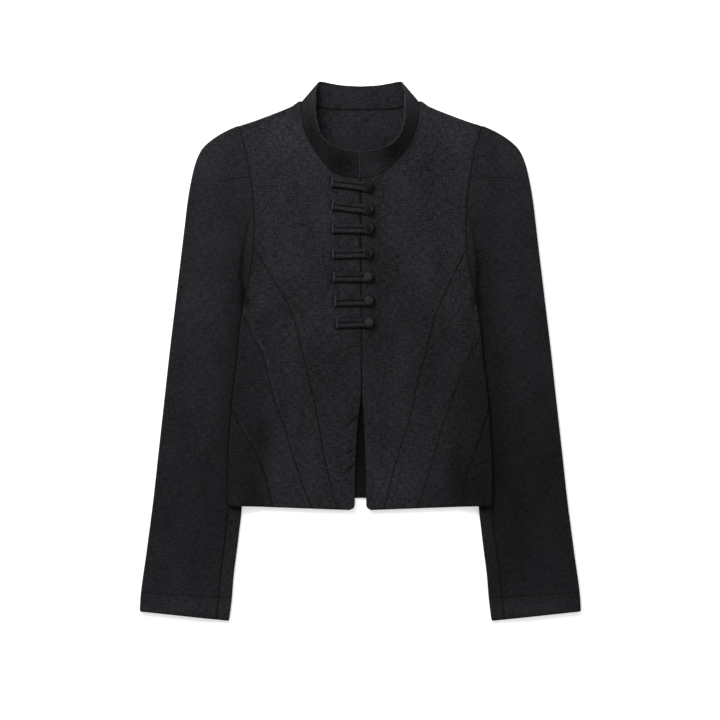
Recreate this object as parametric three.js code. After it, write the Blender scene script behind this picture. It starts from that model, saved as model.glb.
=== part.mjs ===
import * as THREE from 'three';

// Cropped stand-collar blazer laid flat, in millimetres
// X runs right, Y runs up the garment and Z up from the floor
// Every table below holds one half of the garment; side is -1 for left and 1 for right

// Driving sizes of the cloth and of the laid layers
const CLOTH = 1.5;
const SEAM_GAP = 0.3;
const BODY_THICK = 6.4;
const SLEEVE_THICK = 6.0;
const SLEEVE_INNER_THICK = 4.4;
const SIDE_LIFT = 4.8;
const LIFT_FROM = 42;
const LIFT_TO = 21;
const UNDERARM_Y = 80.7;
const LIFT_FULL_Y = 46;
const HEM_BLEND_Y = -150;
const HEM_NOMINAL_Y = -210;
const CHEST_TOP_Y = 232;
const KNOT_GAP = 1.2;
const HALF = 0.5;

// Driving sizes of the trims
const BUTTON_RADIUS = 6.5;
const BUTTON_HEAD = 4.6;
const SHANK_RADIUS = 0.6;
const CORD_HALF_WIDTH = 2.8;
const CORD_HALF_HEIGHT = 2.1;
const LOOP_HALF_HEIGHT = 3.7;
const LABEL_WIDTH = 73;
const LABEL_DEPTH = 25;
const LABEL_THICK = 0.8;
const LABEL_CENTRE = [-2.2, 276.5];

// Fold line down the side of the body
const SIDE_EDGE = [
  { y: -215, x: 176.0 },
  { y: -207, x: 176.3 },
  { y: -199, x: 177.4 },
  { y: -139, x: 176.9 },
  { y: -98, x: 174.2 },
  { y: -75, x: 172.8 },
  { y: -38, x: 168.8 },
  { y: -11, x: 165.4 },
  { y: 29, x: 162.0 },
  { y: 81, x: 153.9 }
];

// Armhole seam from the underarm to the shoulder point
const ARMHOLE = [
  { y: 80.7, x: 153.9 },
  { y: 90, x: 150.5 },
  { y: 107.7, x: 147.8 },
  { y: 132, x: 143.8 },
  { y: 149.5, x: 142.4 },
  { y: 165.7, x: 142.4 },
  { y: 191.4, x: 143.1 },
  { y: 211.6, x: 144.5 },
  { y: 234.6, x: 147.8 },
  { y: 272.4, x: 154.6 },
  { y: 294, x: 161.0 },
  { y: 304.8, x: 162.7 }
];

// Outer fold of the sleeve from the cuff to the shoulder point
const SLEEVE_EDGE = [
  { x: 297.0, y: -349.4 },
  { x: 296.3, y: -335.1 },
  { x: 287.6, y: -267.6 },
  { x: 278.8, y: -200 },
  { x: 271.4, y: -132.6 },
  { x: 263.9, y: -65.1 },
  { x: 256.5, y: 2.4 },
  { x: 248.4, y: 69.9 },
  { x: 240.3, y: 137.4 },
  { x: 236.3, y: 171.1 },
  { x: 232.2, y: 204.9 },
  { x: 226.0, y: 238.6 },
  { x: 220.5, y: 258 },
  { x: 213.3, y: 272.4 },
  { x: 202.5, y: 283.2 },
  { x: 186.3, y: 294 },
  { x: 174.0, y: 300.2 },
  { x: 162.7, y: 304.8 }
];

// Inner fold of the sleeve, partly under the side of the body
const SLEEVE_INNER = [
  { y: -362.3, x: 176.5 },
  { y: -332.4, x: 172.8 },
  { y: -300, x: 170.1 },
  { y: -267.6, x: 166.0 },
  { y: -240.6, x: 162.7 },
  { y: -208, x: 159.3 },
  { y: -140, x: 157.6 },
  { y: -60, x: 156.6 },
  { y: 0, x: 157.4 },
  { y: 28, x: 160.2 },
  { y: 44, x: 160.3 },
  { y: 60, x: 157.9 },
  { y: 80.7, x: 154.2 }
];

// Shoulder fold and back neckline, out from the centre
const TOP_EDGE = [
  { x: 0, y: 327.3 },
  { x: 30, y: 327.6 },
  { x: 56, y: 329.2 },
  { x: 70, y: 331.8 },
  { x: 80, y: 337.0 },
  { x: 92.5, y: 331.8 },
  { x: 117.5, y: 321 },
  { x: 147, y: 310 },
  { x: 162.7, y: 304.8 }
];

// Front neckline from the centre up to the neck point
const NECKLINE = [
  { x: 0, y: 232 },
  { x: 19, y: 236 },
  { x: 34, y: 245.5 },
  { x: 51, y: 261 },
  { x: 67.5, y: 283 },
  { x: 77.5, y: 310 },
  { x: 80, y: 337 }
];

// Front edges, which part below the last loop
const FRONT_EDGE = [
  { y: -215, left: -8.1, right: 7.6 },
  { y: -160, left: -6.8, right: 6.3 },
  { y: -106, left: -3.4, right: 4.2 },
  { y: -58, left: 1.2, right: 1.9 },
  { y: 0, left: 1.7, right: 2.2 },
  { y: 150, left: -0.2, right: 0.3 },
  { y: 240, left: -0.3, right: 0.3 }
];

// Princess seam between the centre front and the side front
const SEAM_ONE = [
  { y: -215, left: 30, right: 30 },
  { y: -144, left: 47.6, right: 49.5 },
  { y: -93.5, left: 56.5, right: 65.5 },
  { y: -35, left: 69, right: 79.1 },
  { y: 0, left: 77.7, right: 89.2 },
  { y: 45.6, left: 89.5, right: 100.6 },
  { y: 80.7, left: 107, right: 115 },
  { y: 97, left: 117, right: 123 },
  { y: 138.7, left: 140, right: 140 }
];

// Second seam, as a distance in from the side fold
const SEAM_TWO = [
  { y: -215, left: 115, right: 104 },
  { y: -151.5, left: 92, right: 83 },
  { y: -97.5, left: 73, right: 64.5 },
  { y: -51.6, left: 53, right: 44 },
  { y: -2.4, left: 35, right: 17.5 },
  { y: 20, left: 20.5, right: 4 },
  { y: 36, left: 13, right: 0 },
  { y: 55, left: 0, right: 0 },
  { y: 90, left: 0, right: 0 }
];

// Third seam, as a distance round from the side fold, below zero on the back
const SEAM_THREE = [
  { y: -215, left: 62, right: 42.5 },
  { y: -172, left: 52.5, right: 37.3 },
  { y: -138, left: 39.6, right: 24.6 },
  { y: -96, left: 12, right: 9 },
  { y: -84, left: 5.5, right: 4 },
  { y: -77, left: 1.5, right: 0.5 },
  { y: -70, left: -2, right: -3 },
  { y: -40, left: -8, right: -10 },
  { y: 0, left: -20, right: -20 },
  { y: 45, left: -32, right: -32 },
  { y: 80.7, left: -36, right: -36 },
  { y: 110, left: -27, right: -27 },
  { y: 138.7, left: -12, right: -12 },
  { y: 155, left: -5, right: -5 }
];

// Soft troughs and ridges of the upper layer, as a line, a half width and a depth
const CREASES = [
  { side: -1, x1: 149, y1: 166, x2: 161, y2: 113, half: 9, depth: 1.0 },
  { side: -1, x1: 161, y1: 113, x2: 156, y2: 84, half: 8, depth: 0.9 },
  { side: 1, x1: 150, y1: 160, x2: 160, y2: 110, half: 9, depth: 0.9 },
  { side: 1, x1: 160, y1: 110, x2: 157, y2: 86, half: 8, depth: 0.8 },
  { side: -1, x1: 180, y1: 272, x2: 205, y2: 236, half: 24, depth: -2.4 },
  { side: 1, x1: 180, y1: 272, x2: 203, y2: 238, half: 23, depth: -2.2 },
  { side: -1, x1: 221, y1: 215, x2: 214, y2: 85, half: 20, depth: 0.8 },
  { side: 1, x1: 205, y1: 226, x2: 190, y2: 170, half: 16, depth: 0.8 },
  { side: 1, x1: 218, y1: 66, x2: 206, y2: 42, half: 13, depth: 1.0 },
  { side: -1, x1: 200, y1: -20, x2: 222, y2: -110, half: 22, depth: 0.7 },
  { side: 1, x1: 205, y1: -60, x2: 228, y2: -180, half: 24, depth: 0.7 },
  { side: -1, x1: 100, y1: -60, x2: 92, y2: -190, half: 18, depth: 0.8 },
  { side: 1, x1: 104, y1: -60, x2: 98, y2: -190, half: 17, depth: 0.8 },
  { side: 1, x1: 154, y1: -130, x2: 154, y2: -160, half: 12, depth: 0.6 }
];

// Stand collar, as the seam edge's height and the free edge from the centre front to the back
const COLLAR_FRONT = [
  { f: 0, x: 0, y: 269.7, z: 17 },
  { f: 0.13, x: 16, y: 271, z: 19 },
  { f: 0.26, x: 30, y: 276, z: 22.5 },
  { f: 0.42, x: 42.5, y: 283, z: 27 },
  { f: 0.61, x: 52.5, y: 296, z: 30 },
  { f: 0.81, x: 58.5, y: 322, z: 27.5 },
  { f: 0.92, x: 59.5, y: 345, z: 18 },
  { f: 1, x: 58, y: 358, z: 10 }
];
const COLLAR_BACK = [
  { seam: 80, x: 56, y: 362.6, z: 5.6 },
  { seam: 70, x: 50, y: 361.4, z: 1.2 },
  { seam: 56, x: 40, y: 359.4, z: 0 },
  { seam: 30, x: 22, y: 357.6, z: 0 },
  { seam: 0, x: 0, y: 356.8, z: 0 }
];

// Loops down the front, each from its sewn left end to the centre of its button
const FASTENINGS = [
  { leftX: -39.4, leftY: 228.4, buttonX: 10.1, buttonY: 222.4 },
  { leftX: -38.6, leftY: 197.4, buttonX: 11.0, buttonY: 191.6 },
  { leftX: -38.5, leftY: 166.0, buttonX: 11.4, buttonY: 165.7 },
  { leftX: -38.3, leftY: 131.6, buttonX: 10.0, buttonY: 133.0 },
  { leftX: -37.0, leftY: 100.4, buttonX: 10.4, buttonY: 100.7 },
  { leftX: -35.4, leftY: 67.6, buttonX: 11.3, buttonY: 68.9 },
  { leftX: -32.8, leftY: 38.2, buttonX: 11.7, buttonY: 39.8 }
];

// Rows shared by every body panel
const LOW_ROWS = [
  -210, -209, -206.5, -203, -180, -150, -120, -96, -84, -77, -70, -52, -20, 10, 36, 46, 55, 68
];
const PINCH_STEPS = [0, 0.7, 3.4];
const HIGH_ROWS = [98, 116, 138.7, 160, 185, 210, 232];
const SHOULDER_STEPS = [0.13, 0.26, 0.42, 0.61, 0.81, 0.93];
const ARC_ANGLES = [90, 60, 32, 3];

function clamp(value, low, high) {
  return Math.min(high, Math.max(low, value));
}

function mix(a, b, t) {
  return a + (b - a) * t;
}

function smooth(t) {
  const s = clamp(t, 0, 1);
  return s * s * (3 - 2 * s);
}

// Value of one column of a table at a place in another
function column(table, key, at, by = 'y') {
  const up = table[0][by] < table[table.length - 1][by];
  const rows = up ? table : [...table].reverse();
  if (at <= rows[0][by]) return rows[0][key];
  for (let i = 1; i < rows.length; i += 1) {
    if (at <= rows[i][by]) {
      const t = (at - rows[i - 1][by]) / (rows[i][by] - rows[i - 1][by]);
      return mix(rows[i - 1][key], rows[i][key], t);
    }
  }
  return rows[rows.length - 1][key];
}

// Point at a share of the length of a line of points
function alongLine(line, share) {
  const lengths = [0];
  for (let i = 1; i < line.length; i += 1) {
    const step = Math.hypot(line[i].x - line[i - 1].x, line[i].y - line[i - 1].y);
    lengths.push(lengths[i - 1] + step);
  }
  const target = share * lengths[lengths.length - 1];
  let i = 1;
  while (i < line.length - 1 && lengths[i] < target) i += 1;
  const t = clamp((target - lengths[i - 1]) / (lengths[i] - lengths[i - 1]), 0, 1);
  return { x: mix(line[i - 1].x, line[i].x, t), y: mix(line[i - 1].y, line[i].y, t) };
}

const sideName = (side) => (side < 0 ? 'left' : 'right');
const sideEdge = (y) => column(SIDE_EDGE, 'x', y);
const armholeX = (y) => column(ARMHOLE, 'x', y);
const POINT_P = { x: armholeX(UNDERARM_Y), y: UNDERARM_Y };
const POINT_S = ARMHOLE[ARMHOLE.length - 1];

// Outer outline above the cuffs, from the neck point over the shoulder and down the sleeve
const OUTLINE = [...TOP_EDGE.slice(4), ...[...SLEEVE_EDGE].reverse().slice(1)];

function outlineDistance(x, y) {
  let best = { d: Infinity, nx: 0, ny: 1 };
  for (let i = 1; i < OUTLINE.length; i += 1) {
    const a = OUTLINE[i - 1];
    const b = OUTLINE[i];
    const lx = b.x - a.x;
    const ly = b.y - a.y;
    const length = Math.hypot(lx, ly);
    const t = clamp(((x - a.x) * lx + (y - a.y) * ly) / (length * length), 0, 1);
    const d = Math.hypot(x - a.x - lx * t, y - a.y - ly * t);
    if (d < best.d) best = { d, nx: -ly / length, ny: lx / length };
  }
  return best;
}

// Height of the underside, raised at the sides where the sleeves lie beneath
function liftAt(x, y) {
  const inFromSide = sideEdge(y) - Math.abs(x);
  const across = clamp((LIFT_FROM - inFromSide) / (LIFT_FROM - LIFT_TO), 0, 1);
  return SIDE_LIFT * across * smooth((UNDERARM_Y - y) / (UNDERARM_Y - LIFT_FULL_Y));
}

// Relief of the upper layer
function relief(side, x, y) {
  let z = 0;
  for (const c of CREASES) {
    if (c.side !== side) continue;
    const lx = c.x2 - c.x1;
    const ly = c.y2 - c.y1;
    const t = clamp(((x - c.x1) * lx + (y - c.y1) * ly) / (lx * lx + ly * ly), 0, 1);
    const d = Math.hypot(x - c.x1 - lx * t, y - c.y1 - ly * t) / c.half;
    z -= c.depth * Math.exp(-d * d);
  }
  return z;
}

// A point of a laid layer with its outward normal; the fold closes it to a half circle
function laid(side, x, y, above, foot, thick, fold) {
  const radius = thick * HALF;
  const rise = Math.acos(clamp(1 - fold.d / radius, 0, 1));
  const sign = above ? 1 : -1;
  const shape = above ? relief(side, x, y) * Math.sin(rise) : 0;
  const z = foot + radius + sign * radius * Math.sin(rise) + shape;
  return {
    p: [side * x, y, z],
    n: [side * fold.nx * Math.cos(rise), fold.ny * Math.cos(rise), sign * Math.sin(rise)]
  };
}

// A point of the body at a plan place above the underarm
function chestPoint(side, x, y, above) {
  let fold = outlineDistance(x, y);
  const toP = Math.hypot(x - POINT_P.x, y - POINT_P.y);
  if (toP < fold.d) fold = { d: toP, nx: 0, ny: -1 };
  return laid(side, x, y, above, 0, BODY_THICK, fold);
}

// Plan distance in from the side fold for a distance round it
function planInset(round) {
  const radius = BODY_THICK * HALF;
  const quarter = radius * Math.PI * HALF;
  const r = Math.abs(round);
  if (r < quarter) return radius * (1 - Math.cos(r / radius));
  return radius + r - quarter;
}

// Rows below the blend line slide down to the hem
function hemY(x, above) {
  if (above) return -207.6 - 5.4 * clamp((158 - Math.abs(x)) / 144, 0, 1);
  return -207.6 + 10.6 * smooth((176 - Math.abs(x)) / 100);
}

function rowY(y, x, above) {
  if (y >= HEM_BLEND_Y) return y;
  const low = hemY(x, above);
  return low + (y - HEM_NOMINAL_Y) * (HEM_BLEND_Y - low) / (HEM_BLEND_Y - HEM_NOMINAL_Y);
}

// A point of the body at or below the underarm, by its distance round from the side fold
function flankPoint(side, round, y) {
  const above = round >= 0;
  const inset = planInset(round);
  const nominal = sideEdge(y) - inset;
  const yy = rowY(y, nominal, above);
  const x = sideEdge(yy) - inset;
  return laid(side, x, yy, above, liftAt(x, yy), BODY_THICK, { d: inset, nx: 1, ny: 0 });
}

function bodyPoint(side, round, y) {
  if (y <= UNDERARM_Y) return flankPoint(side, round, y);
  return chestPoint(side, armholeX(y) - Math.abs(round), y, round >= 0);
}

// Evenly ordered distances from one seam to another, passing the fold where there is room
function spread(from, to, knots, gap) {
  const out = knots.map((k, i) => Math.min(k, from - gap * (i + 1)));
  for (let i = out.length - 1; i >= 0; i -= 1) {
    out[i] = Math.max(out[i], to + gap * (out.length - i));
  }
  return out;
}

const QUARTER = BODY_THICK * HALF * Math.PI * HALF;
const FOLD_KNOTS = [QUARTER, QUARTER * HALF, 0, -QUARTER * HALF, -QUARTER];
const FRONT_KNOTS = [QUARTER / 3, QUARTER * 2 / 3, QUARTER];

const bodyRows = [
  ...LOW_ROWS,
  ...PINCH_STEPS.map((step) => UNDERARM_Y + step),
  ...HIGH_ROWS
];
const shoulderRows = [
  ...SHOULDER_STEPS,
  ...ARC_ANGLES.map((angle) => {
    const inset = BODY_THICK * HALF * (1 - Math.cos(angle * Math.PI / 180));
    return 1 - inset / 85;
  })
];

const seamTwo = (side, y) => column(SEAM_TWO, sideName(side), y);
const seamThree = (side, y) => column(SEAM_THREE, sideName(side), y);

// Closed wall from rows of outer points and normals; empty places leave the cloth out
function wall(rows, thick = CLOTH) {
  const width = rows[0].length;
  const outer = rows.map((row) => row.map((v) => v && v.p));
  const inner = rows.map((row) => row.map((v) => {
    if (!v) return null;
    const length = Math.hypot(...v.n);
    return v.p.map((value, axis) => value - thick * v.n[axis] / length);
  }));
  const points = [];
  const ids = new Map();
  const idOf = (layer, i, j) => {
    const key = `${layer}_${i}_${j}`;
    if (!ids.has(key)) {
      ids.set(key, points.length / 3);
      points.push(...(layer === 0 ? outer : inner)[i][j]);
    }
    return ids.get(key);
  };
  const faces = [];
  const edges = new Map();
  const edge = (a, b) => {
    const back = `${b}|${a}`;
    if (edges.has(back)) edges.delete(back);
    else edges.set(`${a}|${b}`, [a, b]);
  };
  for (let i = 0; i + 1 < rows.length; i += 1) {
    for (let j = 0; j + 1 < width; j += 1) {
      const ring = [[i, j], [i, j + 1], [i + 1, j + 1], [i + 1, j]];
      if (ring.some(([a, b]) => !outer[a][b])) continue;
      const top = ring.map(([a, b]) => idOf(0, a, b));
      const low = ring.map(([a, b]) => idOf(1, a, b));
      faces.push([top[0], top[1], top[2]], [top[0], top[2], top[3]]);
      faces.push([low[2], low[1], low[0]], [low[3], low[2], low[0]]);
      ring.forEach(([a, b], k) => {
        const [c, d] = ring[(k + 1) % 4];
        edge(`${a}_${b}`, `${c}_${d}`);
      });
    }
  }
  const gap = (a, b) => Math.hypot(...[0, 1, 2].map((k) => points[a * 3 + k] - points[b * 3 + k]));
  for (const [a, b] of edges.values()) {
    const [ai, aj] = a.split('_').map(Number);
    const [bi, bj] = b.split('_').map(Number);
    const ring = [idOf(0, ai, aj), idOf(0, bi, bj), idOf(1, bi, bj), idOf(1, ai, aj)];
    if (gap(ring[1], ring[3]) < gap(ring[0], ring[2])) {
      faces.push([ring[1], ring[0], ring[3]], [ring[1], ring[3], ring[2]]);
    } else {
      faces.push([ring[2], ring[1], ring[0]], [ring[3], ring[2], ring[0]]);
    }
  }
  return outward(points, faces);
}

// Geometry with its faces turned to point out
function outward(points, faces) {
  const v = (id) => new THREE.Vector3(points[id * 3], points[id * 3 + 1], points[id * 3 + 2]);
  let volume = 0;
  for (const [a, b, c] of faces) volume += v(a).dot(v(b).cross(v(c)));
  const index = volume > 0 ? faces : faces.map(([a, b, c]) => [a, c, b]);
  const geometry = new THREE.BufferGeometry();
  geometry.setAttribute('position', new THREE.Float32BufferAttribute(points, 3));
  geometry.setIndex(index.flat());
  geometry.computeVertexNormals();
  return geometry;
}

const linen = (name, color) => new THREE.MeshStandardMaterial({
  name, color, roughness: 0.9, metalness: 0
});
const group = new THREE.Group();
group.name = 'cropped_blazer';

function add(name, geometry, color) {
  const mesh = new THREE.Mesh(geometry, linen(`${name}_linen`, color));
  mesh.name = name;
  group.add(mesh);
}

// Point of the front between the armhole row end and the neckline
function frontShoulder(side, share, across) {
  const y = mix(CHEST_TOP_Y, POINT_S.y, share);
  const neck = alongLine(NECKLINE, share);
  const endX = armholeX(y) - SEAM_GAP * HALF;
  return chestPoint(side, mix(endX, neck.x, across), mix(y, neck.y, across), true);
}

// Centre front, from the princess seam to the front edge and up to the shoulder
const SEAM_ONE_TOP_Y = SEAM_ONE[SEAM_ONE.length - 1].y;
const CENTRE_COLUMNS = [0, 0.2, 0.4, 0.6, 0.8, 1];
const CORNER_RADIUS = 7;
function centreFront(side) {
  const rows = bodyRows.map((y) => {
    const seam = y <= SEAM_ONE_TOP_Y ? column(SEAM_ONE, sideName(side), y) : armholeX(y);
    const from = seam - SEAM_GAP * HALF;
    const above = y - HEM_NOMINAL_Y;
    const dip = Math.max(0, CORNER_RADIUS - above);
    const corner = CORNER_RADIUS - Math.sqrt(CORNER_RADIUS ** 2 - dip ** 2);
    const to = side * column(FRONT_EDGE, sideName(side), y) + corner;
    return CENTRE_COLUMNS.map((t) => {
      const x = mix(from, to, t);
      const yy = rowY(y, x, true);
      if (y > UNDERARM_Y) return chestPoint(side, x, yy, true);
      return laid(side, x, yy, true, liftAt(x, yy), BODY_THICK, { d: BODY_THICK, nx: 1, ny: 0 });
    });
  });
  for (const share of shoulderRows) {
    rows.push(CENTRE_COLUMNS.map((t) => frontShoulder(side, share, t)));
  }
  return wall(rows);
}

// Side front, from the second seam or the side fold to the princess seam
const SIDE_FRONT_COLUMNS = [0.35, 0.68];
function sideFront(side) {
  const rows = bodyRows.filter((y) => y <= SEAM_ONE_TOP_Y).map((y) => {
    const outer = Math.max(seamTwo(side, y) - SEAM_GAP * HALF, SEAM_GAP * HALF);
    const seam = column(SEAM_ONE, sideName(side), y) + SEAM_GAP * HALF;
    const edge = y <= UNDERARM_Y ? sideEdge(y) : armholeX(y);
    const quarterLoss = y <= UNDERARM_Y ? QUARTER - BODY_THICK * HALF : 0;
    const inner = edge - seam + quarterLoss;
    const gap = Math.min(KNOT_GAP, (inner - outer) / 6);
    const knots = FRONT_KNOTS.map((k, i) => {
      return clamp(k, outer + gap * (i + 1), inner - gap * (5 - i));
    });
    const last = knots[knots.length - 1];
    const rounds = [outer, ...knots, ...SIDE_FRONT_COLUMNS.map((t) => mix(last, inner, t)), inner];
    return rounds.map((round) => bodyPoint(side, round, y));
  });
  return wall(rows);
}

// Side panel, from the second seam round the side fold to the third seam
function sidePanel(side) {
  const rows = bodyRows.filter((y) => y < 140).map((y) => {
    const from = seamTwo(side, y) > 0 ? seamTwo(side, y) + SEAM_GAP * HALF : 0;
    const start = Math.min(from === 0 ? -SEAM_GAP * HALF : from - SEAM_GAP, Infinity);
    const end = seamThree(side, y) + SEAM_GAP * HALF;
    const knots = spread(start, end, FOLD_KNOTS, Math.min(KNOT_GAP, (start - end) / 9));
    const rounds = [
      start,
      mix(start, knots[0], 1 / 3),
      mix(start, knots[0], 2 / 3),
      ...knots,
      mix(knots[knots.length - 1], end, HALF),
      end
    ];
    return rounds.map((round) => bodyPoint(side, round, y));
  });
  return wall(rows);
}

// Back, from third seam to third seam under the whole body
const BACK_SHARES = [0.74, 0.492, 0.43, 0.344, 0.184];
function backHalf(side, y) {
  const chest = y > UNDERARM_Y;
  const open = y < 150;
  const start = open ? seamThree(side, y) - SEAM_GAP * HALF : -SEAM_GAP * HALF;
  const knots = FOLD_KNOTS.map((k, i) => Math.min(k, start - KNOT_GAP * (i + 1)));
  const points = [start, ...knots].map((round) => bodyPoint(side, round, y));
  const edge = chest ? armholeX(y) : sideEdge(y);
  const turn = smooth((y - UNDERARM_Y) / 60);
  const lastX = Math.abs(points[points.length - 1].p[0]);
  const ramp = [edge - LIFT_TO, edge - LIFT_FROM];
  const xs = BACK_SHARES.map((share, i) => {
    const low = i < 2 ? ramp[i] : ramp[1] * share / BACK_SHARES[1];
    return mix(low, edge * share, turn);
  });
  xs[0] = Math.min(xs[0], lastX - 2);
  xs[1] = Math.min(xs[1], lastX - 6);
  for (const x of xs) {
    const yy = rowY(y, x, false);
    const far = { d: BODY_THICK, nx: 1, ny: 0 };
    points.push(chest
      ? chestPoint(side, x, yy, false)
      : laid(side, x, yy, false, liftAt(x, yy), BODY_THICK, far));
  }
  return points;
}

function backShoulder(side, share) {
  const y = mix(CHEST_TOP_Y, POINT_S.y, share);
  const end = armholeX(y) - SEAM_GAP * HALF;
  const base = backHalf(side, CHEST_TOP_Y).map((v) => Math.abs(v.p[0]));
  return base.map((x) => {
    const portion = x / base[0];
    const top = column(TOP_EDGE, 'y', POINT_S.x * portion, 'x');
    return chestPoint(side, end * portion, y + share * (top - POINT_S.y), false);
  });
}

function backCentre(y) {
  return laid(1, 0, rowY(y, 0, false), false, 0, BODY_THICK, { d: BODY_THICK, nx: 1, ny: 0 });
}

function back() {
  const rows = bodyRows.map((y) => [
    ...backHalf(-1, y), backCentre(y), ...backHalf(1, y).reverse()
  ]);
  for (const share of shoulderRows) {
    const y = mix(CHEST_TOP_Y, POINT_S.y, share) + share * (TOP_EDGE[0].y - POINT_S.y);
    rows.push([
      ...backShoulder(-1, share), backCentre(y), ...backShoulder(1, share).reverse()
    ]);
  }
  return wall(rows);
}

// Sleeve rows: an inner end and an outer end, up from the cuff
const SLEEVE_LOW = [0, 0.04, 0.13, 0.24, 0.35, 0.46, 0.57, 0.68, 0.79, 0.88, 0.94, 1];
const CUFF_INNER_Y = -362.3;
const CAP_FROM_Y = 90.5;

function sleeveRows() {
  const rows = SLEEVE_LOW.map((share) => {
    const y = mix(CUFF_INNER_Y, UNDERARM_Y, share);
    const outerY = mix(SLEEVE_EDGE[0].y, CAP_FROM_Y, share);
    const outer = { x: column(SLEEVE_EDGE, 'x', outerY), y: outerY };
    return { inner: { x: column(SLEEVE_INNER, 'x', y), y }, outer, cap: false };
  });
  const start = { x: column(SLEEVE_EDGE, 'x', CAP_FROM_Y), y: CAP_FROM_Y };
  const cap = [start, ...SLEEVE_EDGE.filter((row) => row.y > CAP_FROM_Y)];
  const span = POINT_S.y - UNDERARM_Y;
  const heights = [
    ...bodyRows.filter((y) => y > UNDERARM_Y),
    ...shoulderRows.map((share) => mix(CHEST_TOP_Y, POINT_S.y, share)).slice(0, -4)
  ];
  for (const y of heights) {
    const inner = { x: armholeX(y) + SEAM_GAP * HALF, y };
    rows.push({ inner, outer: alongLine(cap, (y - UNDERARM_Y) / span), cap: true });
  }
  return rows;
}

// A point of the sleeve at a plan distance in from the outer end of its row
function sleevePoint(side, row, fromInner, above) {
  const lx = row.outer.x - row.inner.x;
  const ly = row.outer.y - row.inner.y;
  const length = Math.hypot(lx, ly);
  const t = clamp(fromInner / length, 0, 1);
  const x = row.inner.x + lx * t;
  const y = row.inner.y + ly * t;
  const high = smooth((y - LIFT_FULL_Y) / (UNDERARM_Y - LIFT_FULL_Y));
  const low = mix(SLEEVE_INNER_THICK, SLEEVE_THICK, smooth((fromInner - 14) / 24));
  const thick = mix(low, BODY_THICK, high);
  let fold = outlineDistance(x, y);
  if (t === 1) fold = { ...fold, d: 0 };
  const toP = Math.hypot(x - POINT_P.x, y - POINT_P.y);
  if (row.cap && toP < fold.d) fold = { d: toP, nx: 0, ny: -1 };
  if (!row.cap && fromInner < fold.d) fold = { d: fromInner, nx: -1, ny: 0 };
  return laid(side, x, y, above, 0, thick, fold);
}

const ARC_INSETS = [0, 0.14, 0.52, 1];
const FRONT_SEAM_INSET = 20;
const BACK_SEAM_INSET = 25;
const BACK_SEAM_TURN_Y = 150;
const BACK_SEAM_END_Y = 215;

function sleevePanels(side) {
  const rows = sleeveRows();
  const topRows = [];
  const underRows = [];
  const radius = SLEEVE_THICK * HALF;
  for (const row of rows) {
    const length = Math.hypot(row.outer.x - row.inner.x, row.outer.y - row.inner.y);
    const y = row.inner.y;
    const rise = smooth((UNDERARM_Y - y) / 130);
    const frontSeam = row.cap ? 0 : mix(3.4, FRONT_SEAM_INSET, rise);
    const turn = smooth((y - BACK_SEAM_TURN_Y) / (BACK_SEAM_END_Y - BACK_SEAM_TURN_Y));
    const backSeam = mix(BACK_SEAM_INSET, length, turn);
    const closed = y > BACK_SEAM_END_Y - 1;
    const seamGap = row.cap ? 0 : SEAM_GAP * HALF;
    const arc = Math.min(radius, length * 0.3);
    const from = frontSeam + seamGap;
    const flat = length - arc;
    const to = closed ? length : backSeam - SEAM_GAP * HALF;
    const over = [0, 0.22, 0.45, 0.7, 1].map((t) => mix(from, flat, t));
    const round = [ARC_INSETS[2], ARC_INSETS[1], 0].map((share) => length - arc * share);
    const under = [
      length - arc * ARC_INSETS[1],
      length - arc * ARC_INSETS[2],
      flat,
      length - mix(arc, to, HALF),
      length - to
    ];
    topRows.push([
      ...over.map((d) => sleevePoint(side, row, d, true)),
      ...round.map((d) => sleevePoint(side, row, d, true)),
      ...under.map((d) => sleevePoint(side, row, d, false))
    ]);
    if (closed) continue;
    const innerRadius = SLEEVE_INNER_THICK * HALF;
    const rest = length - backSeam - SEAM_GAP * HALF;
    if (row.cap) {
      const first = [null, null, null, null, null, null];
      const shares = [0, 0.12, 0.4, 0.7, 1];
      const bottom = shares.map((t) => sleevePoint(side, row, mix(0, rest, t), false));
      underRows.push([...first, ...bottom.slice(0, 5)]);
    } else {
      const start = frontSeam - SEAM_GAP * HALF;
      const top = [start, mix(start, innerRadius, 0.6), innerRadius, innerRadius * 0.52,
        innerRadius * ARC_INSETS[1]];
      const bottom = [innerRadius * ARC_INSETS[1], innerRadius * 0.52];
      const shares = [innerRadius, mix(innerRadius, rest, 0.4), mix(innerRadius, rest, 0.7), rest];
      underRows.push([
        ...top.map((d) => sleevePoint(side, row, d, true)),
        sleevePoint(side, row, 0, true),
        ...bottom.slice(0, 1).map((d) => sleevePoint(side, row, d, false)),
        ...shares.map((d) => sleevePoint(side, row, d, false))
      ]);
    }
  }
  return { top: wall(topRows), under: wall(underRows) };
}

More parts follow.
